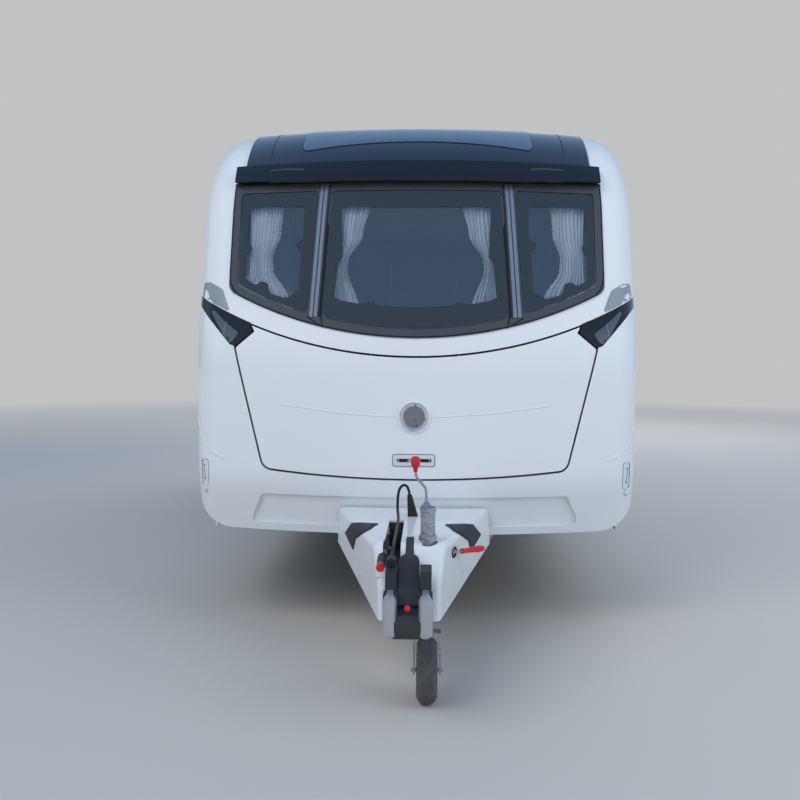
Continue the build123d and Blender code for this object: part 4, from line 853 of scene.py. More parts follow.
# the locker lid's moulded crease, its badge and its latch
lidTrim = {
    "crease": [(-0.661, 1.144), (-0.559, 1.131), (-0.36, 1.106), (-0.165, 1.094), (-0.088, 1.092)],
    "creaseRadius": 0.0045, "badge": (0.0, 1.091), "badgeRadius": 0.068, "latch": (0.0, 0.88),
    "latchSize": (0.2, 0.054),
}


def buildLidTrim(facts):
    creases = []
    for flip in (1, -1):
        creases.append(bead("locker_lid", frontLoop(flipped(facts["crease"], flip)), facts["creaseRadius"],
                            lift=-0.0022))
    hand(creases, "lidCrease", "gelcoat", body="front_locker_lid", smooth=60)
    place, normal = meet("locker_lid", (facts["badge"][0], ahead, facts["badge"][1]))
    r = facts["badgeRadius"]
    base = turned([(0.0, 0.0005), (r + 0.014, 0.0005), (r + 0.014, 0.003), (r + 0.009, 0.0055),
                   (0.0, 0.0055)], place, normal, 64)
    hand(base, "badgeBase", "gelcoat", body="front_locker_lid", smooth=40)
    edge = turned([(r - 0.014, 0.005), (r + 0.002, 0.005), (r + 0.002, 0.0085), (r - 0.002, 0.0112),
                   (r - 0.008, 0.0105), (r - 0.014, 0.007), (r - 0.014, 0.005)], place, normal, 72)
    hand(edge, "badgeRing", "chrome", body="front_locker_lid", smooth=50)
    dish = turned([(0.0, 0.0098), (0.018, 0.0094), (0.034, 0.0082), (0.046, 0.0066), (r - 0.015, 0.0056)],
                  place, normal, 64)
    hand(dish, "badgeDish", "darkChrome", body="front_locker_lid", smooth=60)
    x, z = facts["latch"]
    w, h = facts["latchSize"]
    plate = rounded(corners(x, z, w / 2, h / 2), 0.008, 4)
    plate = laidOn("locker_lid", [frontLoop(plate)], thick=0.0055, lift=0.0006, cell=0.02, bevel=0.0015)
    hand(plate, "latchPlate", "whitePlastic", body="front_locker_lid", smooth=40)
    # a black rim 3 mm wider than the latch plate, just under it: painted shadow round the plate's edge
    shadow = rounded(corners(x, z, w / 2 + 0.003, h / 2 + 0.003), 0.01, 4)
    shadow = laidOn("locker_lid", [frontLoop(shadow)], thick=0.001, lift=0.0004, cell=0.02)
    hand(shadow, "latchPaintedShadow", "rubberAndPaintedShade", body="front_locker_lid", smooth=40)
    # flat dark shapes on the plate's face: painted shade of the latch's finger slots, which are not cut
    slots = []
    for low, high in ((-0.082, -0.014), (0.024, 0.086)):
        slot = rounded([(x + low, z - 0.008), (x + high, z - 0.008), (x + high, z + 0.008),
                        (x + low, z + 0.008)], 0.0075, 5)
        slots.append(laidOn("locker_lid", [frontLoop(slot)], thick=0.001, lift=0.0061, cell=0.02))
    hand(slots, "latchSlotShade", "rubberAndPaintedShade", body="front_locker_lid", smooth=40)
    pulls = []
    for at, turn in ((-0.074, 1), (0.077, -1)):
        arc = [(x + at + turn * 0.009 * (1 - cos(a)), z + 0.0095 * sin(a))
               for a in [k * pi / 8 - pi / 2 for k in range(9)]]
        pulls.append(bead("locker_lid", frontLoop(arc), 0.0022, lift=0.0068, step=0.01))
    bar = rounded(corners(x, z, 0.03, 0.004), 0.0035, 4)
    pulls.append(laidOn("locker_lid", [frontLoop(bar)], thick=0.002, lift=0.0066, cell=0.02))
    hand(pulls, "latchPulls", "chrome", body="front_locker_lid", smooth=60)
    for name in ("badgeRing", "badgeDish", "latchPlate"):
        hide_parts("lid_fittings")


buildLidTrim(lidTrim)
print("stage: locker lid")


# mouldings, seams and strips of the front
frontTrim = {
    "swoosh": [(-1.112, 1.07), (-1.095, 0.985), (-1.058, 0.925), (-1.01, 0.89), (-0.955, 0.868)],
    "strip": [(-1.109, 1.747), (-1.072, 1.752), (-1.034, 1.712), (-1.024, 1.598), (-1.1, 1.655)],
    "surroundBead": [(-0.942, 2.245), (-0.942, 1.79), (-0.937, 1.752), (-0.92, 1.713), (-0.89, 1.684),
                     (-0.8, 1.642), (-0.7, 1.602), (-0.58, 1.561), (-0.45, 1.526), (-0.3, 1.498),
                     (-0.15, 1.481), (0.0, 1.475)],
}


def buildFrontTrim(facts):
    lines = [bead("front_moulding", frontLoop(flipped(facts["swoosh"], flip)), 0.011, lift=-0.0075, sides=3)
             for flip in (1, -1)]
    hand(lines, "cornerCreases", "gelcoat", smooth=60)
    panels = []
    for flip in (1, -1):
        loop = rounded(flipped(facts["strip"], flip), 0.008, 3)
        panels.append(laidOn("front_cap", [frontLoop(loop, -2.2)], toward=(-flip * 0.6, 0.8, 0), thick=0.003,
                             lift=0.0008, cell=0.03, bevel=0.0012))
    hand(panels, "cornerStrips", "stripGrey", smooth=50)
    half = facts["surroundBead"]
    edge = half + [(-x, z) for x, z in half[-2::-1]]
    line = bead("window_surround", frontLoop(edge), 0.004, lift=-0.001, step=0.02)
    hand(line, "surroundSeal", "rubberAndPaintedShade", smooth=60)


buildFrontTrim(frontTrim)


# the pillars' bright strips and the panes' rubber edges
pillars = {"top": (0.463, 2.245), "bottom": (0.499, 1.572), "strip": 0.017}


def buildPillars(facts):
    strips, edges = [], []
    for flip in (1, -1):
        (topX, topZ), (lowX, lowZ) = facts["top"], facts["bottom"]
        for shift in (-0.011, 0.011):
            path = [(flip * (topX + shift), topZ), (flip * (lowX + shift), lowZ)]
            strips.append(ribbon("window_surround", frontLoop(path), facts["strip"], 0.0045, lift=0.0002,
                                 cell=0.06, bevel=0.0015))
        for shift in (-0.029, 0.029):
            path = [(flip * (topX + shift), topZ), (flip * (lowX + shift), lowZ)]
            edges.append(bead("window_surround", frontLoop(path), 0.004, lift=-0.001, step=0.05))
    hand(strips, "pillarStrips", "brushedTrim", smooth=40)
    hand(edges, "pillarSeals", "rubberAndPaintedShade", smooth=60)


buildPillars(pillars)


# lenses of the brow, its lower lip and the sunroof's glass, whose lighter blue is a painted sky reflection
topTrim = {
    "browLens": [(0.575, 2.318), (0.66, 2.324), (0.752, 2.322), (0.752, 2.331), (0.66, 2.337),
                 (0.575, 2.331)],
    "lip": {"z": 2.262, "half": 0.935}, "glass": [(-0.605, 2.045), (0.605, 2.045), (0.6, 1.62), (-0.6, 1.62)],
    "seam": (0.77, 2.03, 1.55),
}


def buildTopTrim(facts):
    lenses = []
    for flip in (1, -1):
        lenses.append(laidOn("brow", [frontLoop(rounded(flipped(facts["browLens"], flip), 0.004, 3))],
                             thick=0.0015, lift=0.0004, cell=0.04))
    hand(lenses, "browLenses", "smokedLens", smooth=50)
    lip = bead("brow", frontLoop([(x * facts["lip"]["half"] / 10, facts["lip"]["z"])
                                  for x in range(-10, 11)]), 0.007, lift=-0.002, step=0.04)
    under = ribbon("front_cap", frontLoop([(-0.944, 2.25), (0.944, 2.25)]), 0.034, 0.009, lift=0.0, cell=0.05)
    hand([lip, under], "browLip", "rubberAndPaintedShade", smooth=60)
    outline = [(x, -y, above) for x, y in rounded(facts["glass"], 0.04, 4)]
    pane = laidOn("sunroof", [outline], toward=down, thick=0.004, lift=0.0006, cell=0.06, bevel=0.0012)
    hand(pane, "sunroofGlass", "roofPaneSkyReflection", smooth=40)
    line = bead("sunroof", outline, 0.0045, toward=down, lift=-0.0005, cyclic=True, step=0.05)
    hand(line, "sunroofSeal", "rubberAndPaintedShade", smooth=60)
    x, low, high = facts["seam"]
    seams = [bead("sunroof", [(flip * x, -low, above), (flip * x, -high, above)], 0.003, toward=down,
                  lift=-0.0012, step=0.05) for flip in (1, -1)]
    hand(seams, "sunroofSeams", "rubberAndPaintedShade", smooth=60)


buildTopTrim(topTrim)
print("stage: front trim")


# corner lamps: a lens with its split in the black housing; marker lamps with their bump
frontLamps = {
    "lens": [(0.845, 1.494), (0.878, 1.447), (0.908, 1.447), (0.998, 1.552), (1.08, 1.648), (0.93, 1.542)],
    "split": [(0.932, 1.547), (0.936, 1.467)], "marker": (1.064, 0.788, 0.036, 0.128),
    "bump": (1.072, 0.698, 0.016),
}


def buildFrontLamps(facts):
    lenses, splits = [], []
    for flip in (1, -1):
        way = (-flip * 0.45, 0.89, 0)
        loop = rounded(flipped(facts["lens"], flip), 0.009, 4)
        lenses.append(laidOn("corner_lamps", [frontLoop(loop, -2.3)], toward=way, thick=0.0025, lift=0.0006,
                             cell=0.03, bevel=0.001))
        splits.append(bead("corner_lamps", frontLoop(flipped(facts["split"], flip), -2.3), 0.0022, toward=way,
                           lift=0.003, step=0.02))
    hand(lenses, "cornerLenses", "lampGlass", smooth=40)
    hand(splits, "cornerSplits", "brushedTrim", smooth=60)
    frames, ribs, bumps = [], [], []
    for flip in (1, -1):
        x, z, w, h = facts["marker"]
        way = (-flip * 0.8, 0.6, 0)
        outer = rounded(flipped(corners(x, z, w / 2 + 0.008, h / 2 + 0.008), flip), 0.012, 4)
        inner = rounded(flipped(corners(x, z, w / 2 - 0.004, h / 2 - 0.004), flip), 0.008, 4)
        frames.append(laidOn("front_moulding", [frontLoop(outer, -2.31), frontLoop(inner, -2.31)], toward=way,
                             thick=0.006, lift=0.0005, cell=0.03, bevel=0.0015))
        for k in (-1, 1):
            place, normal = meet("marker_lamps", (flip * x, -2.31, z + k * 0.034), way)
            ribs.append(turned([(0.0, 0.003), (0.0045, 0.0026), (0.0062, 0.0004)], place, normal, 16))
        ribs.append(bead("marker_lamps", frontLoop([(flip * x, z - 0.026), (flip * x, z + 0.026)], -2.31),
                         0.0016, toward=way, lift=0.0006, step=0.01))
        bx, bz, br = facts["bump"]
        place, normal = meet("front_moulding", (flip * bx, -2.3, bz), way)
        bumps.append(turned([(0.0, 0.014), (0.006, 0.0132), (0.011, 0.0105), (0.0145, 0.006), (br, 0.0005),
                             (br + 0.003, 0.0002)], place, normal, 28))
    hand(frames, "markerBezels", "whitePlastic", smooth=40)
    hand(ribs, "markerBulbs", "darkChrome", smooth=60)
    hand(bumps, "markerBumps", "whitePlastic", smooth=60)


buildFrontLamps(frontLamps)
print("stage: front lamps")


# the fairing: black corner pads, the rim of the clamp handle's hole, the deck beside the lever
fairingTrim = {
    "pad": [(0.15, -2.905, 0.64), (0.272, -2.83, 0.63), (0.318, -2.645, 0.548), (0.263, -2.87, 0.518),
            (0.25, -2.9, 0.575), (0.205, -3.03, 0.632)],
    "hole": (0.182, -3.164, 0.577), "wall": (0.25, 0.968, 0), "holeSize": (0.035, 0.0195),
    "strips": [(0.0165, 0.0505, -3.149), (0.0165, -0.0365, -3.149), (0.1085, -0.1345, -3.226)],
}


def buildFairingTrim(facts):
    pads = []
    for flip in (1, -1):
        loop = [(flip * x, y, z) for x, y, z in facts["pad"]]
        pads.append(laidOn("fairing", [loop], toward=(flip * 0.06, 0.975, -0.2), lift=0.0012, thick=0.0042,
                           cell=0.008, start=0.4, bevel=0.001))
    piece = hand(pads, "fairingPads", "padTread", smooth=40)
    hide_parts("fairing_pads")
    middle, wall, (wide, tall) = Vector(facts["hole"]), Vector(facts["wall"]), facts["holeSize"]
    grommet = [middle + wall * wide * cos(k * pi / 16) + Vector((0, 0, tall * sin(k * pi / 16)))
               for k in range(32)]
    hand(swept(grommet, 0.0045, sides=2, cyclic=True), "clampGrommet", "rubberAndPaintedShade", smooth=60)
    # the deck closes in beside the coupling's lever: strips bent over the fairing's nose
    outline = [meet("fairing", (0.075, y, 0.9), down)[0] for y in (-3.15, -3.2, -3.25, -3.27, -3.29, -3.3,
                                                                   -3.31, -3.32, -3.33)]
    outline += [meet("fairing", (0.075, -behind, z), (0, 1, 0))[0] for z in (0.58, 0.56, 0.54, 0.52)]
    strips = []
    for inner, outer, first in facts["strips"]:
        nothing()
        bpy.ops.mesh.primitive_grid_add(x_subdivisions=2, y_subdivisions=len(outline) - 1, size=2)
        strip = bpy.context.object
        for corner in strip.data.vertices:
            spot = outline[round((corner.co.y + 1) / 2 * (len(outline) - 1))]
            y = min(spot.y, first)
            leverHalf = along([(-4.0, 0.044), (-3.39, 0.037), (-3.364, 0.0165), (-3.0, 0.0165)], y)
            near = max(inner, leverHalf) if abs(inner) < 0.05 else inner
            u = (corner.co.x + 1) / 2
            corner.co = Vector(((near + (abs(outer) - near) * u) * (1 if outer > 0 else -1), y,
                                spot.z - 0.0006))
        change = strip.modifiers.new("thickness", "SOLIDIFY")
        change.thickness = 0.005
        change.offset = 0
        strips.append(settle(strip))
    hand(strips, "deckStrips", "gelcoat", smooth=50)
    liner = [block((-0.1035, -3.3, 0.503), (-0.0365, -2.8, 0.513), 0.001),
             block((-0.1035, -2.808, 0.505), (-0.0365, -2.8005, 0.631), 0.001)]
    hand(liner, "slotLiner", "blackPlastic", smooth=30)


buildFairingTrim(fairingTrim)


# the coupling's silver side shields with their bolts, and its red button
coupling = {"shield": [(0.0405, -3.6752, 0.361), (0.0928, -3.543, 0.5212)], "button": (0.0, -3.6625, 0.478)}


def buildCoupling(facts):
    for side, word in ((1, "Nearside"), (-1, "Offside")):
        shield = sideBlock(side, *facts["shield"], 0.0235, 6)
        hand(shield, "sideShield" + word, "castSilver", smooth=60)
        bolt = rod((side * 0.0905, -3.612, 0.4), (side * 0.0965, -3.612, 0.4), 0.009, sides=6, bevel=0.0008)
        hand(bolt, "shieldBolt" + word, "steel", smooth=30)
    button = turned([(0.0, 0.0062), (0.007, 0.0058), (0.0105, 0.004), (0.012, 0.0)], facts["button"],
                    (0, -1, 0.25), 28)
    hand(button, "wearButton", "redPlastic", smooth=60)


buildCoupling(coupling)


# the jockey wheel's collars, crank and grip, and the clamp's red sleeve
jockey = {
    "axis": (0.072, -3.265), "collars": {"low": 0.648, "lip": 0.763, "neck": 0.7855}, "gripLow": 0.926,
    "clampStart": (0.072, -3.265, 0.584), "clampWay": (113, 105, -7),
}


def buildJockey(facts):
    x, y = facts["axis"]
    collar = turned([(0.0305, 0.0), (0.036, 0.0), (0.038, 0.004), (0.038, 0.016), (0.034, 0.024),
                     (0.0305, 0.026), (0.0305, 0.0)], (x, y, facts["collars"]["low"]), steps=40)
    lip = turned([(0.0305, 0.0), (0.032, 0.0), (0.0328, 0.004), (0.0328, 0.015), (0.032, 0.018),
                  (0.0305, 0.018), (0.0305, 0.0)], (x, y, facts["collars"]["lip"]), steps=40)
    neck = turned([(0.0, 0.0), (0.026, 0.0), (0.024, 0.004), (0.016, 0.008), (0.013, 0.017), (0.009, 0.021),
                   (0.0, 0.021)], (x - 0.006, y, facts["collars"]["neck"]), steps=36)
    hand([collar, lip, neck], "jockeyCollars", "zinc", smooth=40)
    grip = turned([(0.0, 0.0), (0.008, 0.0), (0.0095, 0.004), (0.0095, 0.014), (0.0135, 0.02), (0.0195, 0.03),
                   (0.0205, 0.044), (0.0195, 0.056), (0.015, 0.063), (0.006, 0.0655), (0.0, 0.0657)],
                  (x - 0.052, y, facts["gripLow"]), steps=8)
    bevelled(grip, 0.0022, 2, 25)
    hand(grip, "crankGrip", "redPlastic", smooth=35)
    rodPath = [(x - 0.007, y, 0.8), (x - 0.007, y, 0.852), (x - 0.014, y, 0.866), (x - 0.044, y, 0.9),
               (x - 0.05, y, 0.912), (x - 0.052, y, 0.94)]
    hand(swept(rodPath, 0.0055, True, 4), "crankRod", "steel", smooth=60)
    for name in ("crankGrip", "crankRod", "jockeyCollars"):
        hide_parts("jockey_crank")
    start, way = Vector(facts["clampStart"]), Vector(facts["clampWay"]).normalized()
    sleeve = turned([(0.0095, 0.0), (0.0115, 0.003), (0.0115, 0.012), (0.0105, 0.016), (0.0115, 0.06),
                     (0.0125, 0.084), (0.0145, 0.1), (0.0135, 0.124), (0.011, 0.1335), (0.0, 0.1365)],
                    start + way * 0.1905, way, 32)
    hand(sleeve, "clampSleeve", "redPlastic", smooth=50)


buildJockey(jockey)


# the handbrake's grip: dark sleeve, grey knuckle, red button
handbrake = {"root": (-0.11, -3.25, 0.598), "tipHeight": 0.584, "knuckle": 0.02, "ribs": 9, "firstRib": 0.085,
             "ribStep": 0.012}


def buildHandbrake(facts):
    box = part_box("handbrake_lever")
    root = Vector(facts["root"])
    tip = Vector((root.x, box[0][1] - 0.002, facts["tipHeight"]))
    way = (tip - root).normalized()
    cap = turned([(0.0, 0.0), (0.0155, 0.0), (0.0165, 0.003), (0.0165, 0.03), (0.0155, 0.034), (0.0, 0.034)],
                 tip - way * 0.034, way, 32)
    hand(cap, "brakeTip", "redPlastic", smooth=50)
    knuckle = turned([(0.0158, 0.0), (0.0175, 0.004), (0.0178, 0.03), (0.0165, 0.042), (0.0158, 0.044)],
                     root + way * facts["knuckle"], way, 32)
    hand(knuckle, "brakeKnuckle", "greyPlastic", smooth=50)
    ribs = [turned([(0.0152, -0.002), (0.0168, -0.0012), (0.0168, 0.0012), (0.0152, 0.002)],
                   root + way * (facts["firstRib"] + facts["ribStep"] * k), way, 24)
            for k in range(facts["ribs"])]
    hand(ribs, "brakeRibs", "blackPlastic", smooth=50)


buildHandbrake(handbrake)
print("stage: drawbar")


# side and rear windows: rubber frame, printed border, hinge rail, liner, blind and catches
windows = {
    "nearside": [(-1.13, 1.59, 0.86, 0.64), (0.9, 1.64, 0.9, 0.56), (2.56, 1.64, 0.8, 0.56)],
    "offside": [(-1.13, 1.59, 0.86, 0.64), (0.35, 1.64, 1.1, 0.56), (2.2, 1.64, 0.8, 0.56)],
    "rear": (0.0, 1.8, 1.1, 0.42), "corner": 0.07, "lap": 0.014,
}


def buildWindows(facts):
    lap, corner = facts["lap"], facts["corner"]
    seals, frits, rails, liners, blinds, catches = [], [], [], [], [], []
    sealEdges, fritEdges = ((corner, lap + 0.013), (corner, lap + 0.001)), ((corner, lap - 0.004),
                                                                            (corner - 0.02, -0.034))
    sealLook = {"thick": 0.006, "lift": 0.0002, "cell": 0.3, "bevel": 0.002}
    fritLook = {"thick": 0.0006, "lift": 0.0003, "cell": 0.3}
    for side, word in ((1, "nearside"), (-1, "offside")):
        for y, z, w, h in facts[word]:
            spot, size = (y, z), (w, h)
            seals.append(ring("wall_" + word, spot, size, *sealEdges, side, **sealLook))
            frits.append(ring("body_windows", spot, size, *fritEdges, side, **fritLook))
            top = z + h / 2 + lap
            rails.append(sideBlock(side, (1.1255, y - w / 2 + 0.03, top + 0.003),
                                   (1.138, y + w / 2 - 0.03, top + 0.024), 0.004, 3))
            loops = [[(side * 0.4, *point[1:]) for point in sideLoop(side, spot, size, corner, grow)]
                     for grow in (0.045, -0.006)]
            liners.append(laidOn("wall_" + word, loops, toward=(side, 0, 0), thick=0.016, lift=0.0003,
                                 cell=0.3, start=0.0, bevel=0.004))
            blinds.append(sideBlock(side, (1.062, y - w / 2 - 0.03, z + h / 2 - 0.035),
                                    (1.079, y + w / 2 + 0.03, z + h / 2 + 0.035), 0.006, 3))
            for k in (-0.3, 0.0, 0.3):
                catches.append(sideBlock(side, (1.1, y + k * w - 0.03, z - h / 2 + 0.012),
                                         (1.1225, y + k * w + 0.03, z - h / 2 + 0.032), 0.004))
    x, z, w, h = facts["rear"]
    seals.append(ring("rear_panel", (x, z), (w, h), *sealEdges, **sealLook))
    frits.append(ring("body_windows", (x, z), (w, h), *fritEdges, **fritLook))
    place = onto("rear_panel", (x, behind, z + h / 2 + lap + 0.012), forward)
    rails.append(block((x - w / 2 + 0.03, place.y - 0.004, place.z - 0.01),
                       (x + w / 2 - 0.03, place.y + 0.012, place.z + 0.01), 0.004, 3))
    for k in (-0.3, 0.3):
        catches.append(block((x + k * w - 0.03, 3.6, z - h / 2 + 0.012),
                             (x + k * w + 0.03, 3.625, z - h / 2 + 0.032), 0.004, 2))
    hand(seals, "windowSeals", "rubberAndPaintedShade", smooth=40)
    hand(frits, "windowFrits", "frit", smooth=40)
    hand(rails, "windowRails", "brushedTrim", smooth=40)
    hand(liners, "windowLiners", "whitePlastic", smooth=40)
    hand(blinds, "blindCassettes", "whitePlastic", smooth=40)
    hand(catches, "windowCatches", "greyPlastic", smooth=40)


buildWindows(windows)
print("stage: windows")


# joints between the shells, awning rails' beads, rub strips, wheel arch lips, side markers
sideTrim = {
    "joint": [(-1.945, 0.525), (-1.706, 1.48), (-1.466, 2.434)], "rearJoint": 3.39,
    "rail": (-1.36, 3.32, 2.435),
    "arch": (0.7, 0.315, 0.372), "markers": [-1.32, 1.62, 3.12], "rub": (-1.9, 3.37, 0.531),
}


def buildSideTrim(facts):
    joints, rails, rubs, arches, markers, lenses = [], [], [], [], [], []
    for side, word in ((1, "nearside"), (-1, "offside")):
        way = (-side, 0, 0)
        joints.append(bead("wall_" + word, [(side * beside, y + 0.002, z) for y, z in facts["joint"]], 0.0035,
                           toward=way, lift=-0.0012, step=0.2))
        joints.append(bead("wall_" + word, [(side * beside, facts["rearJoint"] - 0.003, z)
                                            for z in (0.53, 1.5, 2.43)], 0.0035, toward=way, lift=-0.0012,
                           step=0.2))
        low, high, z = facts["rail"]
        for drop in (0.005, -0.006):
            rails.append(rod((side * 1.1365, low, z + drop), (side * 1.1365, high, z + drop), 0.0048,
                             sides=10))
        y0, y1, z = facts["rub"]
        cy, cz, r = facts["arch"]
        gap = (r ** 2 - (z - cz) ** 2) ** 0.5 + 0.012
        for a, b in ((y0, cy - gap), (cy + gap, y1)):
            rubs.append(sideBlock(side, (1.1252, a, z - 0.01), (1.1335, b, z + 0.012), 0.003, 3))
        arc = [(side * beside, cy + (r - 0.001) * cos(t), cz + (r - 0.001) * sin(t))
               for t in [pi * k / 40 for k in range(41)] if cz + r * sin(t) > 0.527]
        arches.append(bead("wall_" + word, arc, 0.0085, toward=way, lift=0.0, step=0.05, sides=3))
        for y in facts["markers"]:
            markers.append(sideBlock(side, (1.1252, y - 0.048, 0.583), (1.1325, y + 0.048, 0.617)))
            lenses.append(sideBlock(side, (1.1315, y - 0.042, 0.588), (1.1375, y + 0.042, 0.612), 0.0028, 3))
    across = [(x / 10, -1.464, above) for x in range(-11, 12)]
    joints.append(bead("roof", across, 0.0035, toward=down, lift=-0.0012, step=0.1))
    joints.append(bead("roof", [(x, 3.387, z) for x, _, z in across], 0.0035, toward=down, lift=-0.0012,
                       step=0.1))
    hand(joints, "shellJoints", "stripGrey", smooth=60)
    hand(rails, "awningBeads", "brushedTrim", smooth=60)
    hand(rubs, "rubStrips", "brushedTrim", smooth=40)
    hand(arches, "archLips", "blackPlastic", smooth=60)
    hand(markers, "sideMarkerBases", "blackPlastic", smooth=40)
    hand(lenses, "sideMarkerLenses", "amberLens", smooth=40)


buildSideTrim(sideTrim)
print("stage: side trim")


# the entrance door: frame, window seal, creases, handle, lock and lining, the lamp and handrail beside it
entranceDoor = {"middle": (-0.228, 1.442), "size": (0.616, 1.78), "corner": 0.06,
                "window": (-0.22, 1.862, 0.32, 0.56), "handle": (0.012, 1.33)}


def buildEntranceDoor(facts):
    way, middle, size = (-1, 0, 0), facts["middle"], facts["size"]
    surround = ring("wall_nearside", middle, size, (facts["corner"], 0.026), (facts["corner"], 0.011), 1,
                    thick=0.005, lift=0.0002, cell=0.4, bevel=0.0015)
    hand(surround, "doorFrame", "brushedTrim", smooth=40)
    y, z, w, h = facts["window"]
    seal = ring("entrance_door", (y, z), (w, h), (0.05, 0.027), (0.05, 0.0155), 1, thick=0.006, lift=0.0002,
                cell=0.3, bevel=0.002)
    hand(seal, "doorWindowSeal", "rubberAndPaintedShade", body="entrance_door", smooth=40)
    border = ring("door_window", (y, z), (w, h), (0.05, 0.01), (0.04, -0.026), 1, thick=0.0006, lift=0.0003,
                  cell=0.3)
    hand(border, "doorWindowBorder", "frit", body="entrance_door", smooth=40)
    crease = []
    for low, high in ((0.6, 0.95), (1.02, 1.5)):
        loop = sideLoop(1, (middle[0], (low + high) / 2), (0.44, high - low), 0.04)
        crease.append(bead("entrance_door", loop, 0.005, toward=way, lift=-0.003, cyclic=True, step=0.1))
    hand(crease, "doorCreases", "sidePanel", body="entrance_door", smooth=60)
    hy, hz = facts["handle"]
    plate = rounded(corners(hy, hz, 0.032, 0.1), 0.02, 5)
    plate = laidOn("entrance_door", [[(1.3, a, b) for a, b in plate]], toward=way, thick=0.006, lift=0.0003,
                   cell=0.1, bevel=0.002)
    grip = swept([(1.1315, hy - 0.008, hz - 0.06), (1.149, hy - 0.008, hz - 0.05), (1.154, hy - 0.008, hz),
                  (1.151, hy - 0.008, hz + 0.05), (1.1315, hy - 0.008, hz + 0.064)], 0.0085, True, 4)
    hand([plate, grip], "doorHandle", "blackPlastic", body="entrance_door", smooth=50)
    lock = turned([(0.0, 0.0035), (0.0085, 0.003), (0.0105, 0.0012), (0.011, 0.0)],
                  (1.1315, hy + 0.012, hz + 0.08), (1, 0, 0), 28)
    # a black sliver on the lock's face: painted shade inside the keyhole, which is not cut
    slot = block((1.1345, hy + 0.0108, hz + 0.0745), (1.1356, hy + 0.0132, hz + 0.0855), 0.0)
    hand(lock, "doorLock", "chrome", body="entrance_door", smooth=60)
    hand(slot, "doorKeyholeShade", "rubberAndPaintedShade", body="entrance_door", smooth=30)
    inner = [block((1.088, -0.46, 0.62), (1.0948, 0.0, 1.5), 0.003),
             block((1.052, -0.42, 0.66), (1.089, -0.04, 0.96), 0.014, 3),
             block((1.062, -0.42, 1.06), (1.089, -0.04, 1.24), 0.01, 3),
             block((1.084, -0.42, 1.56), (1.0948, -0.02, 1.6), 0.004)]
    hand(inner, "doorLining", "whitePlastic", body="entrance_door", smooth=40)
    lamp = block((1.1255, 0.14, 2.16), (1.158, 0.34, 2.215), 0.012, 3)
    hand(lamp, "awningLamp", "clearLens", smooth=40)
    rail = swept([(1.126, 0.19, 1.05), (1.15, 0.19, 1.07), (1.154, 0.19, 1.1), (1.154, 0.19, 1.42),
                  (1.15, 0.19, 1.45), (1.126, 0.19, 1.47)], 0.011, True, 4)
    hand(rail, "entryHandrail", "whitePlastic", smooth=60)


buildEntranceDoor(entranceDoor)
print("stage: entrance door")


# hatch frames and locks, fridge vents, service boxes, boiler flue
sideFittings = {
    "hatches": [("wet_locker_door", -1.29, 0.83, 0.7, 0.38, [(-1.52, 0.97), (-1.06, 0.97)]),
                ("cassette_door", 2.95, 0.83, 0.42, 0.38, [(3.1, 0.93), (3.1, 0.73)])],
    "vents": [(1.36, 1.12, 0.44, 0.26), (1.36, 1.74, 0.44, 0.26)], "slats": 9,
    "boxes": [(-1, -0.42, 0.7, 0.15, 0.15), (-1, 1.75, 0.72, 0.17, 0.17), (1, 1.72, 0.74, 0.13, 0.13),
              (1, -1.5, 0.74, 0.14, 0.14)],
    "flue": (1.74, 1.0),
}


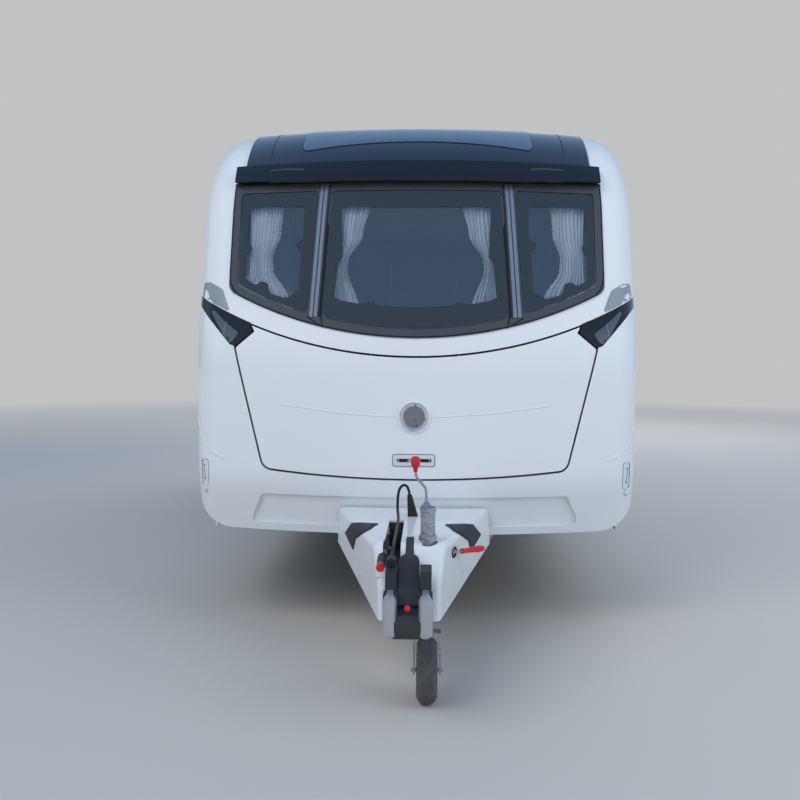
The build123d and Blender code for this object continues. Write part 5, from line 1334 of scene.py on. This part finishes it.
def buildSideFittings(facts):
    for node, y, z, w, h, locks in facts["hatches"]:
        surround = ring("wall_offside", (y, z), (w, h), (0.025, 0.03), (0.025, 0.009), -1, thick=0.005,
                        lift=0.0002, cell=0.3, bevel=0.0015)
        word = node.split("_")[0]
        hand(surround, word + "HatchFrame", "whitePlastic", smooth=40)
        edge = bead(node, sideLoop(-1, (y, z), (w, h), 0.02, -0.035), 0.004, toward=(1, 0, 0), lift=-0.0022,
                    cyclic=True, step=0.1)
        hand(edge, word + "HatchCrease", "sidePanel", body=node, smooth=60)
        barrels, keys = [], []
        for ly, lz in locks:
            barrels.append(turned([(0.0, 0.004), (0.012, 0.0036), (0.015, 0.0018), (0.016, 0.0)],
                                  (-1.1252, ly, lz), (-1, 0, 0), 32))
            # black slivers on the lock barrels: painted shade inside the keyholes, which are not cut
            keys.append(block((-1.13, ly - 0.0014, lz - 0.0065), (-1.1288, ly + 0.0014, lz + 0.0065), 0.0))
        hand(barrels, word + "HatchLocks", "chrome", body=node, smooth=60)
        hand(keys, word + "HatchKeyholeShade", "rubberAndPaintedShade", body=node, smooth=30)
    frames, slats = [], []
    for y, z, w, h in facts["vents"]:
        frames.append(ring("wall_offside", (y, z), (w, h), (0.02, 0.0), (0.015, -0.022), -1, thick=0.011,
                           lift=0.0002, cell=0.3, bevel=0.003))
        for k in range(facts["slats"]):
            level = z - h / 2 + 0.03 + k * (h - 0.06) / (facts["slats"] - 1)
            slat = block((-1.135, y - w / 2 + 0.02, level - 0.0035),
                         (-1.1254, y + w / 2 - 0.02, level + 0.0085), 0.0025, 2)
            slats.append(slat)
    hand(frames, "fridgeVentFrames", "whitePlastic", smooth=40)
    hand(slats, "fridgeVentSlats", "whitePlastic", smooth=40)
    covers, lids, knobs = [], [], []
    for side, y, z, w, h in facts["boxes"]:
        wall = "wall_nearside" if side > 0 else "wall_offside"
        covers.append(laidOn(wall, [sideLoop(side, (y, z), (w, h), 0.018)], toward=(-side, 0, 0), thick=0.007,
                             lift=0.0002, cell=0.2, bevel=0.0025))
        lids.append(sideBlock(side, (1.132, y - w / 2 + 0.016, z - h / 2 + 0.016),
                              (1.1405, y + w / 2 - 0.016, z + h / 2 - 0.016), 0.005, 3))
        knobs.append(turned([(0.0, 0.004), (0.007, 0.0035), (0.0085, 0.0)],
                            (side * 1.1405, y, z - h / 2 + 0.034), (side, 0, 0), 24))
    hand(covers, "serviceBoxes", "whitePlastic", smooth=40)
    hand(lids, "serviceLids", "whitePlastic", smooth=40)
    hand(knobs, "serviceLocks", "darkChrome", smooth=60)
    y, z = facts["flue"]
    dish = turned([(0.0, 0.03), (0.028, 0.029), (0.04, 0.024), (0.044, 0.016), (0.05, 0.012), (0.056, 0.01),
                   (0.058, 0.002), (0.058, 0.0)], (1.1254, y, z), (1, 0, 0), 40)
    # six dark discs on the dish: painted shade inside the flue's holes, which are not cut
    holes = [turned([(0.0, 0.0302), (0.005, 0.03)], (1.1256, y + 0.016 * cos(k * pi / 3),
                                                     z + 0.016 * sin(k * pi / 3)), (1, 0, 0), 14)
             for k in range(6)]
    hand(dish, "boilerFlue", "whitePlastic", smooth=50)
    hand(holes, "boilerFlueHoleShade", "rubberAndPaintedShade", smooth=60)


buildSideFittings(sideFittings)
print("stage: side fittings")


# the road wheels: tyres with grooves, blocks and sidewall ribs, hub caps, bolts, valves
wheels = {
    "centre": (0.985, 0.7, 0.315), "width": 0.195, "radius": 0.315, "bead": 0.19, "steps": 120,
    "bolts": 5, "boltCircle": 0.056, "capRadius": 0.036,
}


def buildWheel(facts, side, word):
    x, y, z = facts["centre"]
    half, r, inner = facts["width"] / 2, facts["radius"], facts["bead"]
    profile = [(inner, -half + 0.028), (inner + 0.012, -half + 0.014), (inner + 0.03, -half + 0.004),
               (inner + 0.034, -half + 0.0055), (inner + 0.037, -half + 0.003), (inner + 0.06, -half),
               (inner + 0.075, -half + 0.0005), (inner + 0.078, -half + 0.0025),
               (inner + 0.082, -half + 0.002), (r - 0.028, -half + 0.006), (r - 0.012, -half + 0.014),
               (r - 0.004, -half + 0.024), (r - 0.0015, -half + 0.036)]
    tread = [(r - 0.0015, -half + 0.04), (r - 0.0085, -half + 0.042), (r - 0.0085, -half + 0.05),
             (r, -half + 0.052), (r, -0.02), (r - 0.0085, -0.018), (r - 0.0085, -0.01), (r, -0.008)]
    left = profile + tread
    outline = left + [(a, -b) for a, b in reversed(left)]
    tyre = turned(outline, (side * x, y, z), (side, 0, 0), facts["steps"])
    middle = Vector((side * x, y, z))
    for corner in tyre.data.vertices:
        out = Vector((0, corner.co.y - y, corner.co.z - z))
        across = abs(corner.co.x - side * x)
        turn = round(Vector((out.y, out.z)).angle_signed(Vector((1, 0))) / (2 * pi) * facts["steps"])
        if out.length > r - 0.02 and across > half - 0.062 and turn % 3 == 0:
            corner.co = middle + Vector((corner.co.x - side * x, 0,
                                         0)) + out * ((out.length - 0.0045) / out.length)
        elif out.length > r - 0.004 and across < 0.03 and turn % 4 == 0:
            corner.co = middle + Vector((corner.co.x - side * x, 0,
                                         0)) + out * ((out.length - 0.002) / out.length)
    hand(tyre, "tyre" + word, "tyreRubber", body="wheel_" + word.lower(), smooth=28)
    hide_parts("tyre_" + word.lower())
    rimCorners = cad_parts["rim_" + word.lower()].data.vertices
    face = max(corner.co.x * side for corner in rimCorners if hypot(corner.co.y - y, corner.co.z - z) < 0.04)
    cap = turned([(0.0, 0.009), (0.02, 0.0085), (0.03, 0.0065), (facts["capRadius"], 0.001),
                  (facts["capRadius"], 0.0)], (side * face, y, z), (side, 0, 0), 40)
    hand(cap, "hubCap" + word, "wheelSilver", body="wheel_" + word.lower(), smooth=50)
    bolts = []
    for k in range(facts["bolts"]):
        turn = 2 * pi * k / facts["bolts"] + 0.3
        by, bz = y + facts["boltCircle"] * cos(turn), z + facts["boltCircle"] * sin(turn)
        seat = meet("rim_" + word.lower(), (side * beside, by, bz), (-side, 0, 0), 0.3)[0]
        bolts.append(rod((seat.x - side * 0.002, by, bz), (seat.x + side * 0.011, by, bz), 0.0095, sides=6,
                         bevel=0.0015))
    valve = rod((side * (x + 0.05), y + 0.165, z), (side * (x + 0.078), y + 0.16, z), 0.0042, sides=14,
                bevel=0.001)
    hand(bolts, "wheelBolts" + word, "steel", body="wheel_" + word.lower(), smooth=35)
    hand(valve, "tyreValve" + word, "rubberAndPaintedShade", body="wheel_" + word.lower(), smooth=50)


for wheelSide, wheelWord in ((1, "Nearside"), (-1, "Offside")):
    buildWheel(wheels, wheelSide, wheelWord)
print("stage: wheels")


# the rear: lamp clusters, blank plate, reflectors, handles, brake light, crease
rear = {
    "lamp": (0.96, 0.98), "lampSize": (0.11, 0.46), "plate": (0.0, 0.83, 0.52, 0.112),
    "triangle": (0.62, 0.53, 0.075),
    "handle": (0.93, 1.62, 0.24), "brakeLight": (0.0, 2.28, 0.3, 0.024),
    "crease": [(-0.84, 1.3), (-0.72, 1.24), (0.72, 1.24), (0.84, 1.3)],
}


def buildRear(facts):
    way = forward
    x, z = facts["lamp"]
    w, h = facts["lampSize"]
    bezels, reds, ambers, clears, rings = [], [], [], [], []
    for flip in (1, -1):
        bezels.append(ring("rear_panel", (flip * x, z), (w, h), (0.03, 0.014), (0.028, -0.004), thick=0.02,
                           lift=0.0002, cell=0.2, bevel=0.004))
        for k, bucket in ((0.31, ambers), (0.0, reds), (-0.31, clears)):
            place, normal = meet("rear_lamps", (flip * x, behind, z + k * h), way)
            radius = 0.043
            bucket.append(turned([(0.0, 0.0075), (0.012, 0.0072), (0.026, 0.006), (0.036, 0.0035),
                                  (radius, 0.0004)], place, normal, 40))
            rings.append(turned([(radius - 0.001, 0.0002), (radius + 0.001, 0.004), (radius + 0.004, 0.0045),
                                 (radius + 0.006, 0.0002)], place, normal, 40))
    hand(bezels, "rearLampBezels", "blackGloss", smooth=40)
    hand(reds, "rearBrakeLenses", "signalRed", smooth=60)
    hand(ambers, "rearIndicatorLenses", "amberLens", smooth=60)
    hand(clears, "rearFogLenses", "clearLens", smooth=60)
    hand(rings, "rearLampRings", "chrome", smooth=60)
    x, z, w, h = facts["plate"]
    back = onto("rear_panel", (x, behind, z), way, lift=0.0)
    surround = ring("rear_panel", (x, z), (w, h), (0.008, 0.012), (0.006, -0.002), thick=0.01, lift=0.0002,
                    cell=0.2, bevel=0.002)
    hand(surround, "plateFrame", "blackPlastic", smooth=40)
    plate = laidOn("rear_panel", [rearLoop((x, z), (w, h), 0.008)], toward=way, thick=0.002, lift=0.003,
                   cell=0.1, bevel=0.0006)
    hand(plate, "blankPlate", "plateWhite", smooth=40)
    lamps = [block((k * 0.15 - 0.03, back.y - 0.001, z + h / 2 + 0.024),
                   (k * 0.15 + 0.03, back.y + 0.022, z + h / 2 + 0.044), 0.006, 3) for k in (-1, 1)]
    hand(lamps, "plateLamps", "blackPlastic", smooth=40)
    tx, tz, size = facts["triangle"]
    triangles, frames = [], []
    for flip in (1, -1):
        for bucket, reach, radius, lift in ((triangles, size, 0.012, 0.003),
                                            (frames, size + 0.012, 0.016, 0.0002)):
            loop = rounded([(flip * tx + reach * cos(t), tz + reach * sin(t))
                            for t in (pi / 2, pi * 7 / 6, pi * 11 / 6)], radius, 4)
            bucket.append(laidOn("rear_bumper", [[(a, behind, b) for a, b in loop]], toward=way, thick=0.004,
                                 lift=lift, cell=0.2, bevel=0.001))
    hand(triangles, "rearTriangles", "signalRed", smooth=40)
    hand(frames, "rearTriangleFrames", "blackPlastic", smooth=40)
    hx, hz, length = facts["handle"]
    grips = []
    for flip in (1, -1):
        spots = [onto("rear_panel", (flip * hx, behind, hz + k * length / 2), way, lift=0.0) for k in (-1, 1)]
        a, b = spots
        out = Vector((0, 0.03, 0))
        grips.append(swept([a, a + out * 0.5, a + out + Vector((0, 0, 0.03)), (a + b) / 2 + out,
                            b + out - Vector((0, 0, 0.03)), b + out * 0.5, b], 0.0105, True, 4))
        for spot in spots:
            grips.append(turned([(0.0, 0.006), (0.016, 0.005), (0.02, 0.0)], spot, (0, 1, 0), 28))
    hand(grips, "rearHandles", "whitePlastic", smooth=60)
    x, z, w, h = facts["brakeLight"]
    light = laidOn("rear_panel", [rearLoop((x, z), (w, h), 0.01)], toward=way, thick=0.008, lift=0.0002,
                   cell=0.1, bevel=0.002)
    hand(light, "highBrakeLight", "signalRed", smooth=40)
    line = bead("rear_panel", [(a, behind, b) for a, b in facts["crease"]], 0.01, toward=way, lift=-0.007,
                step=0.05, sides=3)
    hand(line, "rearCrease", "gelcoat", smooth=60)


buildRear(rear)
print("stage: rear")


# the roof: aerial dome, vents, flue cowl
roofTrim = {"aerial": (0.52, 0.35, 0.118), "vents": [(-0.6, 1.2), (0.6, 2.9)], "cowl": (-0.62, 1.75)}


def buildRoofTrim(facts):
    dome = turned([(0.0, 0.05), (0.04, 0.049), (0.075, 0.044), (0.1, 0.033), (0.112, 0.018),
                   (facts["aerial"][2], 0.004), (facts["aerial"][2] + 0.014, 0.0)],
                  (facts["aerial"][0], facts["aerial"][1], onto("roof", (*facts["aerial"][:2], 3), down,
                                                                0.0).z), steps=48)
    hand(dome, "aerialDome", "whitePlastic", smooth=60)
    caps = []
    for x, y in facts["vents"]:
        base = onto("roof", (x, y, 3), down, 0.0)
        caps.append(turned([(0.0, 0.042), (0.03, 0.041), (0.05, 0.036), (0.06, 0.028), (0.058, 0.024),
                            (0.045, 0.022), (0.045, 0.006), (0.062, 0.003), (0.064, 0.0)], base, steps=36))
    hand(caps, "roofVents", "whitePlastic", smooth=40)
    x, y = facts["cowl"]
    base = onto("roof", (x, y, 3), down, 0.0)
    cowl = turned([(0.0, 0.055), (0.034, 0.054), (0.042, 0.048), (0.042, 0.042), (0.03, 0.04), (0.03, 0.012),
                   (0.05, 0.006), (0.054, 0.0)], base, steps=36)
    hand(cowl, "flueCowl", "greyPlastic", smooth=40)


buildRoofTrim(roofTrim)
print("stage: roof")


# inside: lining, overhead lockers, kitchen, washroom wall, shelf, blinds; lining, lockers and kitchen top are
# coloured dark as painted shade of the dim inside
cabin = {
    "liningPaintedShade": 1.0935, "panels": {1: [(-1.88, -1.6, 0.57, 1.95), (-1.6, -0.66, 0.99, 1.22),
                                     (0.12, 0.42, 0.57, 2.3), (1.38, 2.12, 0.57, 2.3),
                                     (3.0, 3.36, 0.57, 2.3)],
                                 -1: [(-1.88, -1.6, 1.03, 1.95), (-0.66, -0.24, 1.0, 2.3),
                                      (0.94, 1.76, 1.0, 2.3), (2.64, 3.36, 1.03, 2.3)],
    },
    "lockers": (0.8, 1.93, 2.28), "lockerRuns": {1: [(-1.72, -0.62), (0.16, 1.7)], -1: [(-1.72, 1.7)]},
    "kitchen": [(0.62, 0.2, 0.768), (1.09, 1.4, 1.46)], "partition": (1.78, 1.82),
    "rooflights": [(0.0, -0.76, 0.7, 0.5), (0.0, 0.7, 0.4, 0.4), (0.0, 2.5, 0.4, 0.4)],
}


def buildCabin(facts):
    reach = facts["liningPaintedShade"]
    panels = []
    for side in (1, -1):
        for y0, y1, z0, z1 in facts["panels"][side]:
            panels.append(sideBlock(side, (reach - 0.006, y0, z0), (reach, y1, z1), 0.002))
    # the lining panels' near-black colour is painted shade
    hand(panels, "wallLining", "liningPaintedShade", smooth=30)
    inner, low, high = facts["lockers"]
    lockers, doors, pulls = [], [], []
    for side in (1, -1):
        for y0, y1 in facts["lockerRuns"][side]:
            lockers.append(sideBlock(side, (inner, y0, low), (1.07, y1, high), 0.012, 3))
            count = max(1, round((y1 - y0) / 0.56))
            for k in range(count):
                a, b = y0 + (y1 - y0) * k / count + 0.006, y0 + (y1 - y0) * (k + 1) / count - 0.006
                doors.append(sideBlock(side, (inner - 0.018, a, low + 0.012),
                                       (inner + 0.001, b, high - 0.012), 0.006, 3))
                pulls.append(sideBlock(side, (inner - 0.03, (a + b) / 2 - 0.05, low + 0.03),
                                       (inner - 0.018, (a + b) / 2 + 0.05, low + 0.042), 0.004, 3))
    # the lockers in the lining's near-black: painted shade
    hand(lockers, "overheadLockers", "liningPaintedShade", smooth=35)
    hand(doors, "lockerDoors", "board", smooth=35)
    hand(pulls, "lockerPulls", "chrome", smooth=40)
    (kx, ky, kz), (kx1, ky1, kz1) = facts["kitchen"]
    unit = [block((kx + 0.02, ky, kz), (kx1, ky1, kz1 - 0.04), 0.006),
            block((-1.088, 1.12, 0.565), (-0.6, 1.72, 2.28), 0.01)]
    hand(unit, "kitchenUnit", "board", smooth=35)
    top = block((kx, ky - 0.01, kz1 - 0.04), (kx1, ky1 + 0.01, kz1), 0.008, 3)
    hand(top, "kitchenTop", "kitchenWhitePaintedShade", smooth=35)
    y0, y1 = facts["partition"]
    walls = [block((-1.088, y0, 0.565), (-0.3, y1, 2.4), 0.004),
             block((0.32, y0, 0.565), (1.088, y1, 2.4), 0.004)]
    walls.append(block((-0.298, y0 + 0.01, 0.57), (0.318, y1 - 0.01, 2.396), 0.003))
    hand(walls, "washroomWall", "board", smooth=35)
    shelf = block((-0.86, -2.06, 1.535), (0.86, -1.86, 1.553), 0.008, 3)
    hand(shelf, "frontShelf", "board", smooth=35)
    cassettes = [rod((-0.5, -2.0, 2.2), (0.5, -2.0, 2.2), 0.022, sides=20, bevel=0.003)]
    for side in (1, -1):
        cassettes.append(rod((side * 0.62, -1.985, 2.195), (side * 0.9, -1.84, 2.195), 0.02, sides=20,
                             bevel=0.003))
    hand(cassettes, "frontBlinds", "blindCloth", smooth=50)
    blinds = [block((x - w / 2 - 0.02, y - l / 2 - 0.02, 2.585), (x + w / 2 + 0.02, y + l / 2 + 0.02, 2.5935),
                    0.003) for x, y, w, l in facts["rooflights"]]
    hand(blinds, "rooflightBlinds", "blindCloth", smooth=30)
    returns = [block((side * 1.066 - 0.004, -2.13, 0.507), (side * 1.066 + 0.004, -1.78, 0.62), 0.001)
               for side in (1, -1)]
    hand(returns, "cornerReturns", "blackPlastic", smooth=30)


buildCabin(cabin)
print("stage: cabin")


# the lounge's cushions: crowned pads on board boxes
lounge = {
    "crown": 0.022, "box": ((0.455, -1.98, 0.565), (1.05, -0.85, 0.859)),
    "pads": [((0.45, -2.02, 0.86), (1.08, -1.45, 0.975)), ((0.45, -1.44, 0.86), (1.08, -0.85, 0.975))],
}


def pad(low, high, name, crown):
    # a crowned cushion: a subdivided block with its faces lifted at the middle
    nothing()
    middle = [(a + b) / 2 for a, b in zip(low, high)]
    bpy.ops.mesh.primitive_cube_add(size=1, location=(0, 0, 0))
    piece = bpy.context.object
    bpy.ops.object.mode_set(mode="EDIT")
    bpy.ops.mesh.subdivide(number_cuts=11)
    bpy.ops.object.mode_set(mode="OBJECT")
    size = [b - a for a, b in zip(low, high)]
    for corner in piece.data.vertices:
        u = [max(-1, min(1, 2 * c)) for c in corner.co]
        place = Vector([c * s for c, s in zip(corner.co, size)])
        for axis in range(3):
            others = [u[k] for k in range(3) if k != axis]
            rise = (1 - others[0] ** 4) * (1 - others[1] ** 4)
            pull = 0.35 * crown * (others[0] ** 4 + others[1] ** 4) / 2
            if abs(u[axis]) > 0.999:
                grow = crown * rise if size[axis] < 0.3 else 0.2 * crown * rise
                place[axis] += (1 if u[axis] > 0 else -1) * (min(grow, crown) - crown * 0.9 - pull)
        corner.co = place
    piece.location = middle
    settle(piece)
    change = piece.modifiers.new("softer", "SUBSURF")
    change.levels = change.render_levels = 1
    return hand(piece, name, "seatCloth", smooth=70)


def buildLounge(facts):
    pads, boxes = [], []
    for side, word in ((1, "Nearside"), (-1, "Offside")):
        for k, (low, high) in enumerate(facts["pads"]):
            x0, x1 = sorted((side * low[0], side * high[0]))
            pads.append(pad((x0, low[1], low[2]), (x1, high[1], high[2]), f"seatCushion{word}{k}",
                            facts["crown"]))
        boxes.append(sideBlock(side, *facts["box"], 0.006))
    hand(boxes, "seatBoxes", "board", smooth=35)
    for piece in pads:
        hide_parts("lounge_seats")
    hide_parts("lounge_seats")


buildLounge(lounge)
print("stage: lounge")


# under the floor: joists, brake rods, dampers
underside = {"joists": [-1.0, -0.4, 0.2, 1.9, 2.4], "damperX": 0.66, "damperWidth": 0.024}


def buildUnderside(facts):
    joists = [block((-0.55, y - 0.02, 0.5), (0.55, y + 0.02, 0.5195), 0.002) for y in facts["joists"]]
    hand(joists, "floorJoists", "floorBoard", smooth=30)
    rods = [rod((0, -2.9, 0.446), (0, 0.44, 0.4), 0.006, sides=12),
            rod((-0.06, 0.43, 0.4), (0.06, 0.43, 0.4), 0.012, sides=16),
            rod((-0.055, 0.44, 0.4), (-0.8, 0.52, 0.34), 0.004, sides=10),
            rod((0.055, 0.44, 0.4), (0.8, 0.52, 0.34), 0.004, sides=10)]
    hand(rods, "brakeRods", "steel", smooth=50)
    dampers, shafts = [], []
    for flip in (1, -1):
        x = flip * facts["damperX"]
        dampers.append(rod((x, 0.62, 0.34), (x, 0.9, 0.44), facts["damperWidth"], sides=24, bevel=0.004))
        shafts.append(rod((x, 0.88, 0.433), (x, 1.02, 0.483), 0.009, sides=16))
    hand(dampers, "dampers", "blackPlastic", smooth=50)
    hand(shafts, "damperShafts", "steel", smooth=50)


buildUnderside(underside)


# the hub plates of the jockey wheel
jockeyHubs = {"axle": (0.072, -3.325, 0.13), "profile": [(0.012, 0.0004), (0.05, 0.0007), (0.056, -0.001)]}


def buildJockeyHubs(facts):
    x, y, z = facts["axle"]
    hubs = []
    for side in (1, -1):
        spot = meet("jockey_wheel", (x + side * 0.2, y + 0.028, z), (-side, 0, 0), 0.3)[0]
        hubs.append(turned(facts["profile"], (spot.x, y, z), (side, 0, 0), 48))
    hand(hubs, "jockeyHubs", "greyPlastic", body="jockey_roller", smooth=50)


buildJockeyHubs(jockeyHubs)
print("stage: underside")
